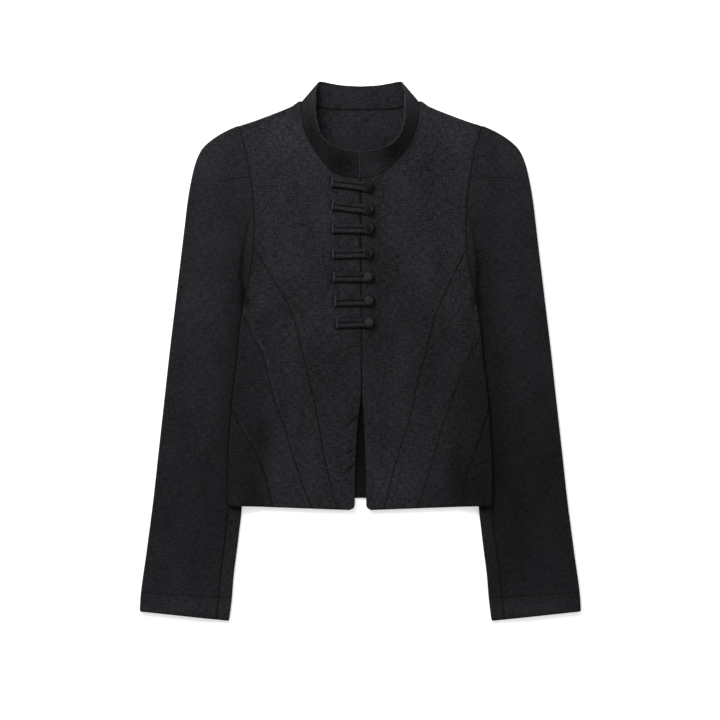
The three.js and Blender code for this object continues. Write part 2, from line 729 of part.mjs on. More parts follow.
// Stand collar as one band from its left end round the back to its right end
const BAND_COLUMNS = [0, 0.25, 0.5, 0.75, 1];
const COLLAR_SPLIT = -2;
function collarHalf(side) {
  const stations = [];
  for (const f of [0, ...shoulderRows.slice(0, -1)]) {
    const seam = alongLine(NECKLINE, f);
    const ahead = alongLine(NECKLINE, Math.min(1, f + 0.01));
    const behind = alongLine(NECKLINE, Math.max(0, f - 0.01));
    const length = Math.hypot(ahead.x - behind.x, ahead.y - behind.y);
    const nx = -(ahead.y - behind.y) / length * SEAM_GAP;
    const ny = (ahead.x - behind.x) / length * SEAM_GAP;
    const { p, n } = chestPoint(side, seam.x, seam.y, true);
    const low = [p[0] + side * nx, p[1] + ny, p[2]];
    const up = [
      side * column(COLLAR_FRONT, 'x', f, 'f'),
      column(COLLAR_FRONT, 'y', f, 'f'),
      column(COLLAR_FRONT, 'z', f, 'f')
    ];
    if (f === 0) {
      low[0] = COLLAR_SPLIT + side * SEAM_GAP;
      low[1] = SEAM_GAP + column(NECKLINE, 'y', Math.abs(low[0]), 'x');
      up[0] = low[0];
    }
    stations.push({ low, up, n });
  }
  for (const row of COLLAR_BACK) {
    const seamY = column(TOP_EDGE, 'y', row.seam, 'x');
    const { p, n } = chestPoint(side, row.seam, seamY, false);
    stations.push({ low: [p[0], p[1] + SEAM_GAP, p[2]], up: [side * row.x, row.y, row.z], n });
  }
  return stations;
}

function collar() {
  const stations = [...collarHalf(-1), ...collarHalf(1).reverse().slice(1)];
  const grid = stations.map(({ low, up }) => BAND_COLUMNS.map((t) => [
    mix(low[0], up[0], t),
    mix(low[1], up[1], t),
    mix(low[2], up[2], t ** 1.25)
  ]));
  const at = (i, j) => new THREE.Vector3(...grid[i][j]);
  const rows = grid.map((row, i) => row.map((p, j) => {
    if (j === 0) return { p, n: stations[i].n };
    const before = at(Math.max(0, i - 1), j);
    const after = at(Math.min(grid.length - 1, i + 1), j);
    const n = after.sub(before).cross(at(i, Math.min(row.length - 1, j + 1)).sub(at(i, j - 1)));
    n.normalize();
    return { p, n: [-n.x, -n.y, -n.z] };
  }));
  return wall(rows);
}

// Cord loop: a closed run of cord round the button's shank
class LoopPath extends THREE.Curve {
  constructor(left, right, half, z) {
    super();
    this.size = { left, right, half, z };
  }

  getPoint(t, target = new THREE.Vector3()) {
    const { left, right, half, z } = this.size;
    const corner = half * 0.45;
    const run = right - left;
    const turn = Math.PI * half;
    const total = 2 * run + turn + 2 * half;
    let s = (t % 1) * total;
    if (s < run) return target.set(left + s, half - (s < corner ? corner - s : 0) * HALF, z);
    s -= run;
    if (s < turn) {
      const angle = Math.PI * HALF - s / half;
      return target.set(right + half * Math.cos(angle), half * Math.sin(angle), z);
    }
    s -= turn;
    if (s < run) {
      const rest = run - s;
      return target.set(right - s, -half + (rest < corner ? corner - rest : 0) * HALF, z);
    }
    s -= run;
    return target.set(left, -half + s, z);
  }
}

const CORD_SIDES = 6;
function loop(reach) {
  const z = BODY_THICK + SEAM_GAP + CORD_HALF_HEIGHT;
  const half = LOOP_HALF_HEIGHT;
  const run = reach - CORD_HALF_WIDTH;
  const path = new LoopPath(CORD_HALF_WIDTH, reach, half, z);
  const turn = Math.PI * half;
  const total = 2 * run + turn + 2 * half;
  const stops = [0.06, 0.35, 0.7].map((share) => run * share);
  for (let k = 0; k <= 6; k += 1) stops.push(run + turn * k / 6);
  stops.push(...[0.3, 0.65, 0.94].map((share) => run + turn + run * share));
  stops.push(2 * run + turn + half * 0.3, 2 * run + turn + half * 1.7);
  const points = [];
  const faces = [];
  const target = new THREE.Vector3();
  stops.forEach((stop) => {
    const here = path.getPoint(stop / total, target).clone();
    const next = path.getPoint(((stop + 0.1) / total) % 1, target).clone();
    const previous = path.getPoint(((stop - 0.1 + total) / total) % 1, target).clone();
    const along = next.sub(previous).normalize();
    for (let k = 0; k < CORD_SIDES; k += 1) {
      const angle = 2 * Math.PI * k / CORD_SIDES;
      const sideways = CORD_HALF_WIDTH * Math.cos(angle);
      points.push(
        here.x - along.y * sideways,
        here.y + along.x * sideways,
        here.z + CORD_HALF_HEIGHT * Math.sin(angle)
      );
    }
  });
  stops.forEach((_, i) => {
    const j = (i + 1) % stops.length;
    for (let k = 0; k < CORD_SIDES; k += 1) {
      const m = (k + 1) % CORD_SIDES;
      const ring = [i * CORD_SIDES + k, i * CORD_SIDES + m, j * CORD_SIDES + m, j * CORD_SIDES + k];
      faces.push([ring[0], ring[1], ring[2]], [ring[0], ring[2], ring[3]]);
    }
  });
  return outward(points, faces);
}

// Covered button: a domed head on a short shank
function button() {
  const top = 2 * CORD_HALF_HEIGHT + SEAM_GAP;
  const profile = [
    new THREE.Vector2(0, 0),
    new THREE.Vector2(SHANK_RADIUS, 0),
    new THREE.Vector2(SHANK_RADIUS, top),
    new THREE.Vector2(BUTTON_RADIUS * 0.9, top + 0.3),
    new THREE.Vector2(BUTTON_RADIUS, top + BUTTON_HEAD * 0.35),
    new THREE.Vector2(BUTTON_RADIUS * 0.78, top + BUTTON_HEAD * 0.78),
    new THREE.Vector2(BUTTON_RADIUS * 0.4, top + BUTTON_HEAD * 0.96),
    new THREE.Vector2(0, top + BUTTON_HEAD)
  ];
  const geometry = new THREE.LatheGeometry(profile, 12);
  geometry.rotateX(Math.PI * HALF);
  return geometry;
}

add('back', back(), 0x272629);
for (const side of [-1, 1]) {
  const name = sideName(side);
  add(`centre_front_${name}`, centreFront(side), 0x29282c);
  add(`side_front_${name}`, sideFront(side), 0x28272a);
  add(`side_panel_${name}`, sidePanel(side), 0x262529);
  const sleeve = sleevePanels(side);
  add(`top_sleeve_${name}`, sleeve.top, 0x2b2a2d);
  add(`under_sleeve_${name}`, sleeve.under, 0x28272a);
}
add('stand_collar', collar(), 0x252427);

FASTENINGS.forEach(({ leftX, leftY, buttonX, buttonY }, i) => {
  const reach = Math.hypot(buttonX - leftX, buttonY - leftY);
  const cord = new THREE.Mesh(loop(reach), linen(`loop_${i + 1}_cord`, 0x222124));
  cord.name = `loop_${i + 1}`;
  cord.position.set(leftX, leftY, 0);
  cord.rotation.z = Math.atan2(buttonY - leftY, buttonX - leftX);
  group.add(cord);
  const knob = new THREE.Mesh(button(), linen(`button_${i + 1}_cloth`, 0x232226));
  knob.name = `button_${i + 1}`;
  knob.position.set(buttonX, buttonY, BODY_THICK + SEAM_GAP);
  group.add(knob);
});

const label = new THREE.Mesh(
  new THREE.BoxGeometry(LABEL_WIDTH, LABEL_DEPTH, LABEL_THICK),
  linen('neck_label_satin', 0x111113)
);
label.name = 'neck_label';
label.position.set(LABEL_CENTRE[0], LABEL_CENTRE[1], CLOTH + SEAM_GAP + LABEL_THICK * HALF);
group.add(label);

export default group;
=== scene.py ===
import math

import bmesh
import bpy
import numpy as np
from mathutils import Matrix, Vector, noise


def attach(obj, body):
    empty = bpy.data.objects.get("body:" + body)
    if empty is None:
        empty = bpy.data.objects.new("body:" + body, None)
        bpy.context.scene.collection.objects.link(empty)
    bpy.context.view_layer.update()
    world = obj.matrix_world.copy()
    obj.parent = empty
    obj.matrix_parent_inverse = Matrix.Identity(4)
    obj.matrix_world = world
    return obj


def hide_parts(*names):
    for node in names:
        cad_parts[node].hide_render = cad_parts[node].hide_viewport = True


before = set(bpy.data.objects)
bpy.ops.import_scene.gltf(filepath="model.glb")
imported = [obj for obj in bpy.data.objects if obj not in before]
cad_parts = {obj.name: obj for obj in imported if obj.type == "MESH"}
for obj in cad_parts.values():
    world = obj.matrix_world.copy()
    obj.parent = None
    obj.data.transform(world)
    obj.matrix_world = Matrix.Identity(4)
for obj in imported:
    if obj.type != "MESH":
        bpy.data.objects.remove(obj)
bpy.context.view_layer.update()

# Photograph set-up: the jacket lies on a plain pale light table, seen from straight above.
# One long lens looks down on its middle, and large soft lights stand round it, the
# brightest beyond the left shoulder.
scene = bpy.context.scene
scene.view_settings.view_transform = "Standard"
scene.view_settings.look = "None"


def placed(name, data):
    """A new object, put into the scene."""
    thing = bpy.data.objects.new(name, data)
    scene.collection.objects.link(thing)
    return thing


camera_data = bpy.data.cameras.new("overhead_camera")
camera_data.lens = 100
camera_data.sensor_width = 36
camera_data.clip_end = 20
camera = placed("overhead_camera", camera_data)
camera.location = (-0.0004, -0.0111, 2.695)
scene.camera = camera

table_mesh = bpy.data.meshes.new("pale_table")
bm = bmesh.new()
bmesh.ops.create_grid(bm, x_segments=2, y_segments=2, size=4)
bmesh.ops.translate(bm, verts=bm.verts, vec=(0, 0, -0.0003))
bm.to_mesh(table_mesh)
bm.free()
table = placed("pale_table", table_mesh)


def shader_node(tree, kind, links=(), **settings):
    """One shader node, its settings given, its inputs linked or set."""
    node = tree.nodes.new(kind)
    for key, value in settings.items():
        setattr(node, key, value)
    for key, value in links:
        if isinstance(value, bpy.types.NodeSocket):
            tree.links.new(value, node.inputs[key])
        else:
            node.inputs[key].default_value = value
    return node


table_paint = bpy.data.materials.new("pale_table_paint")
table_paint.use_nodes = True
table_tree = table_paint.node_tree
table_shader = table_tree.nodes["Principled BSDF"]
for socket, value in (("Roughness", 0.8), ("Specular IOR Level", 0.1),
                      ("Emission Color", (1, 1, 1, 1)), ("Emission Strength", 0.3)):
    table_shader.inputs[socket].default_value = value
table_grain = shader_node(table_tree, "ShaderNodeTexNoise", [("Scale", 3)])
table_tint = shader_node(table_tree, "ShaderNodeMix",
                         [("Factor", table_grain.outputs["Fac"]), ("A", (0.90, 0.90, 0.90, 1)),
                          ("B", (0.93, 0.93, 0.93, 1))], data_type="RGBA")
table_tree.links.new(table_tint.outputs["Result"], table_shader.inputs["Base Color"])
table_mesh.materials.append(table_paint)

for light_name, place, size, power in (
    ("key_light", (-0.9, 1.75, 1.45), 1.1, 62),
    ("side_fill", (2.3, 0.4, 2.0), 2.2, 10),
    ("front_fill", (-0.6, -2.6, 2.2), 2.2, 12),
):
    light_data = bpy.data.lights.new(light_name, "AREA")
    light_data.shape = "SQUARE"
    light_data.size = size
    light_data.energy = power
    light = placed(light_name, light_data)
    light.location = place
    light.rotation_euler = Vector(place).to_track_quat("Z", "Y").to_euler()
studio = bpy.data.worlds.new("studio_white")
studio.use_nodes = True
studio.node_tree.nodes["Background"].inputs["Color"].default_value = (1, 1, 1, 1)
studio.node_tree.nodes["Background"].inputs["Strength"].default_value = 0.55
scene.world = studio

# Back: one piece of black plain-weave linen under the whole body, cut with a low corner
# at each side that wraps round the side fold to the front. It is sewn to the side
# panels, the sleeves and the shoulders, and its hem is turned up inside.
MM = 0.001  # the jacket is measured in millimetres
SIDES = ((-1, "left"), (1, "right"))
CLOTH_THICK = 1.5
SEAM_LAP = 0.24  # how far two panels run over each other at a seam
BODY_THICK = 6.4
BODY_RADIUS = BODY_THICK / 2
FOLD_FADE = 26  # height over which the side fold turns into the armhole seam
TURN_SPARE = math.pi / 2 - 1  # what a half fold takes beyond its depth, for each radius
BACK_EDGE_SPARE = 1.83  # what the side fold adds to the back's half width
SIDE_RAISE = 4.8  # how high a sleeve's inner edge lifts the side of the body
UNDERARM_X, UNDERARM_Y = 153.9, 80.7
SHOULDER_X, SHOULDER_Y = 162.7, 304.8
NECK_POINT = (80, 337.8)
PRINCESS_TOP_Y, BACK_CORNER_Y = 138.7, 155
HEM_Y, HEM_BLEND_Y = -210, -150  # rows below the second slide down to the hem
CHEST_TOP_Y = 232  # rows above it turn up to follow the shoulder seam
CHEST_RUN = CHEST_TOP_Y - HEM_Y
BACK_RUN, FRONT_RUN = CHEST_RUN + 95, CHEST_RUN + 85
CHARCOAL = (0.0124, 0.0121, 0.0142)


def measured_line(points):
    """Value along a line through measured (place, value) pairs, smooth and with no overshoot."""
    at, value = np.array(sorted(points), float).T
    step = np.diff(at)
    slope = np.diff(value) / step
    lean = np.concatenate((slope[:1], np.zeros(len(slope) - 1), slope[-1:]))
    same = slope[:-1] * slope[1:] > 0
    before, after = slope[:-1][same], slope[1:][same]
    lean[1:-1][same] = 2 * before * after / (before + after)

    def value_at(place):
        place = np.clip(np.asarray(place, float), at[0], at[-1])
        i = np.clip(np.searchsorted(at, place, side="right") - 1, 0, len(step) - 1)
        t = (place - at[i]) / step[i]
        return ((1 + 2 * t) * (1 - t) ** 2 * value[i] + t * (1 - t) ** 2 * step[i] * lean[i]
                + t * t * (3 - 2 * t) * value[i + 1] + t * t * (t - 1) * step[i] * lean[i + 1])
    return value_at


def drawn_line(points, steps=8):
    """The measured points joined by a finely drawn smooth line."""
    points = np.array(points, float)
    run = np.concatenate(([0], np.cumsum(np.hypot(*np.diff(points, axis=0).T))))
    parts = [np.linspace(a, b, steps, endpoint=False) for a, b in zip(run[:-1], run[1:])]
    fine = np.concatenate(parts + [run[-1:]])
    return np.column_stack([measured_line(list(zip(run, points[:, k])))(fine) for k in (0, 1)])


def along(line, share):
    """Point at a share of a line's length."""
    run = np.concatenate(([0], np.cumsum(np.hypot(*np.diff(line, axis=0).T))))
    return [np.interp(np.asarray(share) * run[-1], run, line[:, k]) for k in (0, 1)]


def ease(t):
    t = np.clip(t, 0, 1)
    return t * t * (3 - 2 * t)


def mix(a, b, t):
    return a + (b - a) * t


def shares(steps):
    return np.linspace(0, 1, steps + 1)


SHOULDER = [NECK_POINT, (92.5, 331.0), (117.5, 320.7), (147, 309.8), (SHOULDER_X, SHOULDER_Y)]
BACK_NECK = [(0, 326.2), (30, 326.4), (46, 327.3), (56, 329.2), (70, 332.4), NECK_POINT]
SLEEVE_FOLD = [(SHOULDER_X, SHOULDER_Y), (174.0, 300.2), (186.3, 294), (202.5, 283.2),
               (213.3, 272.4), (220.5, 258), (226.0, 238.6), (232.2, 204.9), (236.3, 171.1),
               (240.3, 137.4),
               (248.4, 69.9), (256.5, 2.4), (263.9, -65.1), (271.4, -132.6), (278.8, -200),
               (287.6, -267.6), (296.3, -335.1), (297.0, -349.4)]
side_fold_x = measured_line([(-215, 176.0), (-207, 176.3), (-199, 177.4), (-139, 176.9),
                             (-98, 174.2), (-75, 172.8), (-38, 168.8), (-11, 165.4),
                             (29, 162.0), (UNDERARM_Y, UNDERARM_X)])
armhole_x = measured_line([(UNDERARM_Y, UNDERARM_X), (90, 150.5), (107.7, 147.8), (132, 143.8),
                           (149.5, 142.4), (165.7, 142.4), (191.4, 143.1), (211.6, 144.5),
                           (234.6, 147.8), (272.4, 154.6), (294, 161.0), (SHOULDER_Y, SHOULDER_X)])
back_top_y = measured_line(BACK_NECK + SHOULDER[1:])
SEAM_THREE_TOP = [(0, -20), (45, -32), (UNDERARM_Y, -36), (110, -27), (PRINCESS_TOP_Y, -12),
                  (BACK_CORNER_Y, -5)]
seam_three = {
    -1: measured_line([(-215, 62), (-172, 52.5), (-138, 39.6), (-96, 12), (-84, 5.5),
                       (-77, 1.5), (-70, -2), (-40, -8)] + SEAM_THREE_TOP),
    1: measured_line([(-215, 42.5), (-172, 37.3), (-138, 24.6), (-96, 9), (-84, 4),
                      (-77, 0.5), (-70, -3), (-40, -10)] + SEAM_THREE_TOP)}
OUTER_FOLD = drawn_line(SHOULDER + SLEEVE_FOLD[1:])


def distance_in(x, y, line):
    """Distance in from a fold line, with the direction out across it."""
    best = np.full(np.shape(x), 1e9)
    out_x, out_y = np.zeros(np.shape(x)), np.ones(np.shape(x))
    for (ax, ay), (bx, by) in zip(line[:-1], line[1:]):
        lx, ly = bx - ax, by - ay
        length = math.hypot(lx, ly)
        t = np.clip(((x - ax) * lx + (y - ay) * ly) / length ** 2, 0, 1)
        d = np.hypot(x - ax - lx * t, y - ay - ly * t)
        near = d < best
        best = np.where(near, d, best)
        out_x, out_y = np.where(near, -ly / length, out_x), np.where(near, lx / length, out_y)
    return best, out_x, out_y


def side_lift(x, y):
    """Height of the body's underside, raised where a sleeve's inner edge lies beneath: in
    full up to 21 mm in from the side fold, and not at all from 42 mm on."""
    across = np.clip((42 - (side_fold_x(y) - np.abs(x))) / 21, 0, 1)
    return SIDE_RAISE * across * ease((UNDERARM_Y - y) / (UNDERARM_Y - 46))


# Soft troughs of the laid cloth: side, from, to, half width and depth, below zero for a ridge
FOLDS = [
    (-1, 149, 172, 160, 116, 9, 1.2), (-1, 160, 116, 157, 82, 9, 1.6),
    (1, 150, 168, 160, 112, 9, 1.1), (1, 160, 112, 157, 84, 9, 1.5),
    (-1, 150, 174, 157, 137, 2.8, 1.0), (-1, 157, 137, 161, 102, 3.0, 1.8),
    (-1, 161, 102, 156.5, 74, 3.4, 2.0), (1, 150.5, 168, 157, 134, 2.8, 0.9),
    (1, 157, 134, 160.5, 102, 3.0, 1.7), (1, 160.5, 102, 156.5, 76, 3.4, 1.9),
    (-1, 147, 120, 151, 90, 5, -0.9), (1, 147, 118, 151, 92, 5, -0.8),
    (-1, 180, 272, 205, 236, 24, -2.4), (1, 180, 272, 203, 238, 23, -2.2),
    (-1, 221, 215, 214, 85, 20, 0.9), (1, 205, 226, 190, 170, 16, 0.9),
    (1, 218, 66, 206, 42, 13, 1.1), (-1, 200, -20, 222, -110, 22, 0.8),
    (1, 205, -60, 228, -180, 24, 0.8), (-1, 100, -60, 92, -190, 18, 1.0),
    (1, 104, -60, 98, -190, 17, 1.0), (1, 154, -130, 154, -160, 12, 0.7),
    (-1, 168, 252, 166, 206, 8, 0.9), (1, 199, 226, 188, 198, 8, 0.8),
    (-1, 2, -87, 20, -102, 3.4, 0.7), (-1, 10, -130, 20, -140, 3, 0.6),
    (-1, 14, -153, 21, -163, 3, 0.5), (-1, 5, 7, 24, -1, 3, 0.5),
    (-1, 12, -2, 21, -7, 2.6, 0.4), (1, 154, -130, 153, -140, 4, 0.6),
    (-1, 60, 190, 96, 120, 26, 0.5), (1, 58, 176, 100, 132, 24, 0.5),
    (-1, 40, 60, 60, -60, 22, -0.5), (1, 36, 70, 62, -40, 24, -0.5),
    (1, 40, 236, 36, 190, 9, 0.6), (-1, 38, 228, 36, 198, 9, 0.4),
]


def cloth_relief(side, x, y):
    """How far the laid cloth stands up or sinks, from its folds and its soft rumples."""
    z = np.zeros(np.shape(x))
    for fold_side, x1, y1, x2, y2, half, depth in FOLDS:
        if fold_side != side:
            continue
        lx, ly = x2 - x1, y2 - y1
        t = np.clip(((x - x1) * lx + (y - y1) * ly) / (lx * lx + ly * ly), 0, 1)
        z -= depth * np.exp(-(np.hypot(x - x1 - lx * t, y - y1 - ly * t) / half) ** 2)
    for scale, height in ((0.021, 0.55), (0.055, 0.22), (0.13, 0.09)):
        wave = [noise.noise((side * a * scale + 7, b * scale * 0.8, scale * 40 + side))
                for a, b in zip(np.ravel(x), np.ravel(y))]
        z += height * np.reshape(wave, np.shape(x))
    return z


def lay(side, x, y, above, foot, thick, fold):
    """Place, direction out and thread map of one laid layer, closed round its fold."""
    edge, out_x, out_y = fold
    radius = thick / 2
    rise = np.arccos(np.clip(1 - edge / radius, 0, 1))
    up = np.where(above, 1.0, -1.0)
    shape = cloth_relief(side, x, y) * np.sin(rise) * np.where(above, 1, 0)
    z = foot + radius + up * radius * np.sin(rise) + shape
    spare = TURN_SPARE * radius
    round_fold = np.where(edge < radius, radius * rise, edge + spare)
    out = spare - (round_fold - edge)
    place = np.stack((side * x, y, z), -1)
    facing = np.stack((side * out_x * np.cos(rise), out_y * np.cos(rise), up * np.sin(rise)), -1)
    return place, facing, np.stack((side * (x + out_x * out), y + out_y * out), -1)


def drawn_to_underarm(x, y, edge, out_x, out_y):
    """The same fold, drawn to a point under the arm."""
    point = np.hypot(x - UNDERARM_X, y - UNDERARM_Y)
    near = point < edge
    return np.minimum(point, edge), np.where(near, 0, out_x), np.where(near, -1, out_y)


def chest(side, x, y, above):
    """The body above the underarms."""
    fold = drawn_to_underarm(x, y, *distance_in(x, y, OUTER_FOLD))
    return lay(side, x, y, above, 0, BODY_THICK, fold)


def flank(side, x, y, above, inset):
    """The body below the underarms, by its distance in from the side fold."""
    level = np.ones(np.shape(x))
    fold = (inset + 0 * x, level, 0 * level)
    return lay(side, x, y, above, side_lift(x, y), BODY_THICK, fold)


def either(where, layer, other):
    """One laid layer made of two: the first where it is asked for, the other elsewhere."""
    return tuple(np.where(where[..., None], a, b) for a, b in zip(layer, other))


def slid_to_hem(y, x, above):
    """Rows near the hem slide down to it: level at the sides, low in front, high behind."""
    front = -207.6 - 5.4 * np.clip((158 - np.abs(x)) / 144, 0, 1)
    behind = -207.6 + 10.6 * ease((176 - np.abs(x)) / 100)
    low = np.where(above, front, behind)
    slid = low + (y - HEM_Y) * (HEM_BLEND_Y - low) / (HEM_BLEND_Y - HEM_Y)
    return np.where(y >= HEM_BLEND_Y, y, slid)


def body(side, inset, y, above):
    """The body by its distance in from the side fold, or from the armhole above it."""
    low_y = slid_to_hem(y, side_fold_x(y) - inset, above)
    low = flank(side, side_fold_x(low_y) - inset, low_y, above, inset)
    high = chest(side, armhole_x(y) - inset, y, above)
    return either(y <= UNDERARM_Y, low, high)


def round_body(side, turned, y):
    """The body by the distance round from the side fold, below zero on the back."""
    far = np.abs(turned)
    tight = np.where(far < BODY_RADIUS * math.pi / 2,
                     BODY_RADIUS * (1 - np.cos(np.minimum(far / BODY_RADIUS, 1.6))),
                     far - TURN_SPARE * BODY_RADIUS)
    inset = mix(tight, far, ease((y - UNDERARM_Y) / FOLD_FADE))
    return body(side, inset, y, turned >= 0)


def join_halves(left, right):
    return tuple(np.concatenate((a, b[:, ::-1][:, 1:]), axis=1) for a, b in zip(left, right))


def body_rows(run, columns, rows):
    """Share along each row, share of each row up the shoulder, and its height on the body."""
    v, u = shares(rows)[:, None] * run, shares(columns)[None, :]
    share = np.clip((v - CHEST_RUN) / (run - CHEST_RUN), 0, 1) + 0 * u
    return u, share, np.minimum(HEM_Y + v, CHEST_TOP_Y) + 0 * u


def back_half(side, columns, rows):
    u, share, y = body_rows(BACK_RUN, columns, rows)
    start = SEAM_LAP / 2 + np.where(y < BACK_CORNER_Y, seam_three[side](y),
                                    mix(-5, 0, ease((y - BACK_CORNER_Y) / 12)))
    edge = np.where(y <= UNDERARM_Y, side_fold_x(y) + BACK_EDGE_SPARE, armhole_x(y))
    knee = np.minimum(6, start - 6)
    under = np.minimum(-6, knee - 10)
    parts = [(0, start), (0.22, knee), (0.36, under), (1, -edge)]
    turned = np.zeros(np.shape(y))
    for (a, low), (b, high) in zip(parts[:-1], parts[1:]):
        inside = (u >= a) & (u <= b)
        turned = np.where(inside, mix(low, high, (u - a) / (b - a)), turned)
    low_part = round_body(side, turned, y)
    x = np.abs(low_part[0][..., 0])
    portion = x / x[:, :1]
    y_high = mix(CHEST_TOP_Y, SHOULDER_Y, share)
    top = back_top_y(SHOULDER_X * portion)
    place_x = (armhole_x(y_high) + SEAM_LAP / 2) * portion
    shoulder = chest(side, place_x, y_high + share * (top - SHOULDER_Y), False)
    return either(share > 0, shoulder, low_part)


def tone_with_painted_light(place, even, patches):
    """The cloth's tone with painted light and shade: an even part and soft patches, each with its
    middle, its reach across and up, and what it adds."""
    shade = np.full(place.shape[:2], float(even))
    for x, y, across, up, more in patches:
        shade += more * np.exp(-((place[..., 0] - x) / across) ** 2
                               - ((place[..., 1] - y) / up) ** 2)
    return np.clip(shade, 0.06, 1.6)


def grid_sheet(columns, rows, layer_names):
    """A flat grid with its thread map and layers, and the row and column of each corner."""
    bm = bmesh.new()
    bmesh.ops.create_grid(bm, x_segments=columns, y_segments=rows, size=0.5)
    layers = [bm.loops.layers.uv.new("thread_map")]
    layers += [bm.verts.layers.float.new(layer_name) for layer_name in layer_names]
    spots = {v: (round((v.co.y + 0.5) * rows), round((v.co.x + 0.5) * columns)) for v in bm.verts}
    return bm, spots, layers


def cut_cloth(surface, tone_and_painted_light, grain=0.0, seams=("left", "right", "top"), folds=("foot",),
              roll=0.75, puckers=0.16):
    """A panel as one sheet: a grid laid to its place, its seams pressed in and puckered and its
    turned edges rounded over; darker along its seams, with painted shade along its turned edges."""
    place, facing, thread = surface
    shade = tone_with_painted_light(place, *tone_and_painted_light)
    rows, columns = place.shape[0] - 1, place.shape[1] - 1
    across = np.linalg.norm(np.diff(place, axis=1), axis=2)
    upward = np.linalg.norm(np.diff(place, axis=0), axis=2)
    from_left = np.concatenate((np.zeros((rows + 1, 1)), np.cumsum(across, axis=1)), axis=1)
    from_foot = np.concatenate((np.zeros((1, columns + 1)), np.cumsum(upward, axis=0)), axis=0)
    distances = {"left": from_left, "right": from_left[:, -1:] - from_left,
                 "foot": from_foot, "top": from_foot[-1:] - from_foot}
    sewn = np.min([distances[edge] for edge in seams], axis=0)
    turned_in = np.min([distances[edge] for edge in folds], axis=0)
    nearest = np.minimum(sewn, turned_in)
    run = from_foot + 3.1 * from_left
    pucker = np.sin(run / 3.4 + 1.7 * np.sin(run / 21)) * np.sin(run / 47) ** 2
    sink = roll * np.exp(-(nearest / 1.25) ** 2) - puckers * pucker * np.exp(-nearest / 5)
    under_arm = np.hypot(np.abs(place[..., 0]) - UNDERARM_X, place[..., 1] - UNDERARM_Y)
    sink *= 1 - np.exp(-(under_arm / 7) ** 2)
    place = place - sink[..., None] * facing
    # Painted shade where the rounded edges turn to face sideways and along the turned edges; the
    # seams are darker lines
    shade *= 1 - 0.6 * (1 - np.abs(facing[..., 2])) ** 2
    edge_dark = np.exp(-(sewn / 1.1) ** 2) + 0.4 * np.exp(-(turned_in / 1.2) ** 2)
    turn = math.cos(grain), math.sin(grain)
    thread = np.stack((thread[..., 0] * turn[0] + thread[..., 1] * turn[1],
                       thread[..., 1] * turn[0] - thread[..., 0] * turn[1]), -1) * MM
    place = place * MM

    bm, spots, layers = grid_sheet(columns, rows, ("seam_and_edge_dark", "tone_and_painted_light"))
    thread_map, seam_and_edge_dark, tone_and_painted_light_layer = layers
    for vert, spot in spots.items():
        vert.co = place[spot]
        vert[seam_and_edge_dark] = edge_dark[spot]
        vert[tone_and_painted_light_layer] = shade[spot]
    bm.normal_update()
    bm.faces.ensure_lookup_table()
    middle = bm.faces[len(bm.faces) // 2]
    if middle.normal.dot(Vector(facing[spots[middle.verts[0]]])) < 0:
        bmesh.ops.reverse_faces(bm, faces=bm.faces)
    for face in bm.faces:
        face.smooth = True
        for loop in face.loops:
            loop[thread_map].uv = thread[spots[loop.vert]]
    return bm, spots


def hand_over(name, bm, material, node, thick=0.0):
    """Hand a piece over: its thickness, its cloth, its body and the solid it stands for."""
    mesh = bpy.data.meshes.new(name)
    bm.to_mesh(mesh)
    bm.free()
    piece = placed(name, mesh)
    if thick:
        thickness = piece.modifiers.new("cloth_thickness", "SOLIDIFY")
        thickness.thickness = thick * MM
        thickness.offset = -1
    mesh.materials.append(material)
    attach(piece, "root")
    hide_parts(node)
    return piece


def node_group(name, inputs, outputs):
    """An empty shader node group with its named sockets."""
    tree = bpy.data.node_groups.new(name, "ShaderNodeTree")
    for socket_name, kind in inputs:
        tree.interface.new_socket(socket_name, in_out="INPUT", socket_type=kind)
    for socket_name, kind in outputs:
        tree.interface.new_socket(socket_name, in_out="OUTPUT", socket_type=kind)
    return tree, tree.nodes.new("NodeGroupInput"), tree.nodes.new("NodeGroupOutput")


# Plain weave: threads over and under, thicker slubs both ways, scaled by the tone with its painted
# light and shade, and darker along seams and turned edges.
# Its lengths are in metres.
WARP_PITCH, WEFT_PITCH = 0.00058, 0.00062
STITCH_LENGTH = 0.0026
weave, weave_in, weave_out = node_group(
    "plain_weave_linen",
    [("Thread Map", "NodeSocketVector"), ("Cloth Colour", "NodeSocketColor"),
     ("Seam And Edge Dark", "NodeSocketFloat"), ("Tone And Painted Light", "NodeSocketFloat"),
     ("Contrast", "NodeSocketFloat")],
    [("Colour", "NodeSocketColor"), ("Roughness", "NodeSocketFloat"),
     ("Height", "NodeSocketFloat")])


def sum_of(tree, operation, *values, clamp=False):
    return shader_node(tree, "ShaderNodeMath", enumerate(values), operation=operation,
                       use_clamp=clamp).outputs[0]


def vector_sum(tree, operation, *values):
    sockets = (0, "Scale") if operation == "SCALE" else (0, 1)
    node = shader_node(tree, "ShaderNodeVectorMath", zip(sockets, values), operation=operation)
    return node.outputs["Value" if operation in ("DOT_PRODUCT", "LENGTH") else "Vector"]


def grain_noise(tree, vector, stretch, detail=2.0, rough=0.5):
    return shader_node(tree, "ShaderNodeTexNoise",
                       [("Vector", vector_sum(tree, "MULTIPLY", vector, stretch)),
                        ("Scale", 1.0), ("Detail", detail), ("Roughness", rough)]).outputs["Fac"]


def ramped(tree, value, low, high, to_low=0.0, to_high=1.0):
    return shader_node(tree, "ShaderNodeMapRange",
                       [("Value", value), ("From Min", low), ("From Max", high),
                        ("To Min", to_low), ("To Max", to_high)],
                       interpolation_type="SMOOTHSTEP").outputs["Result"]


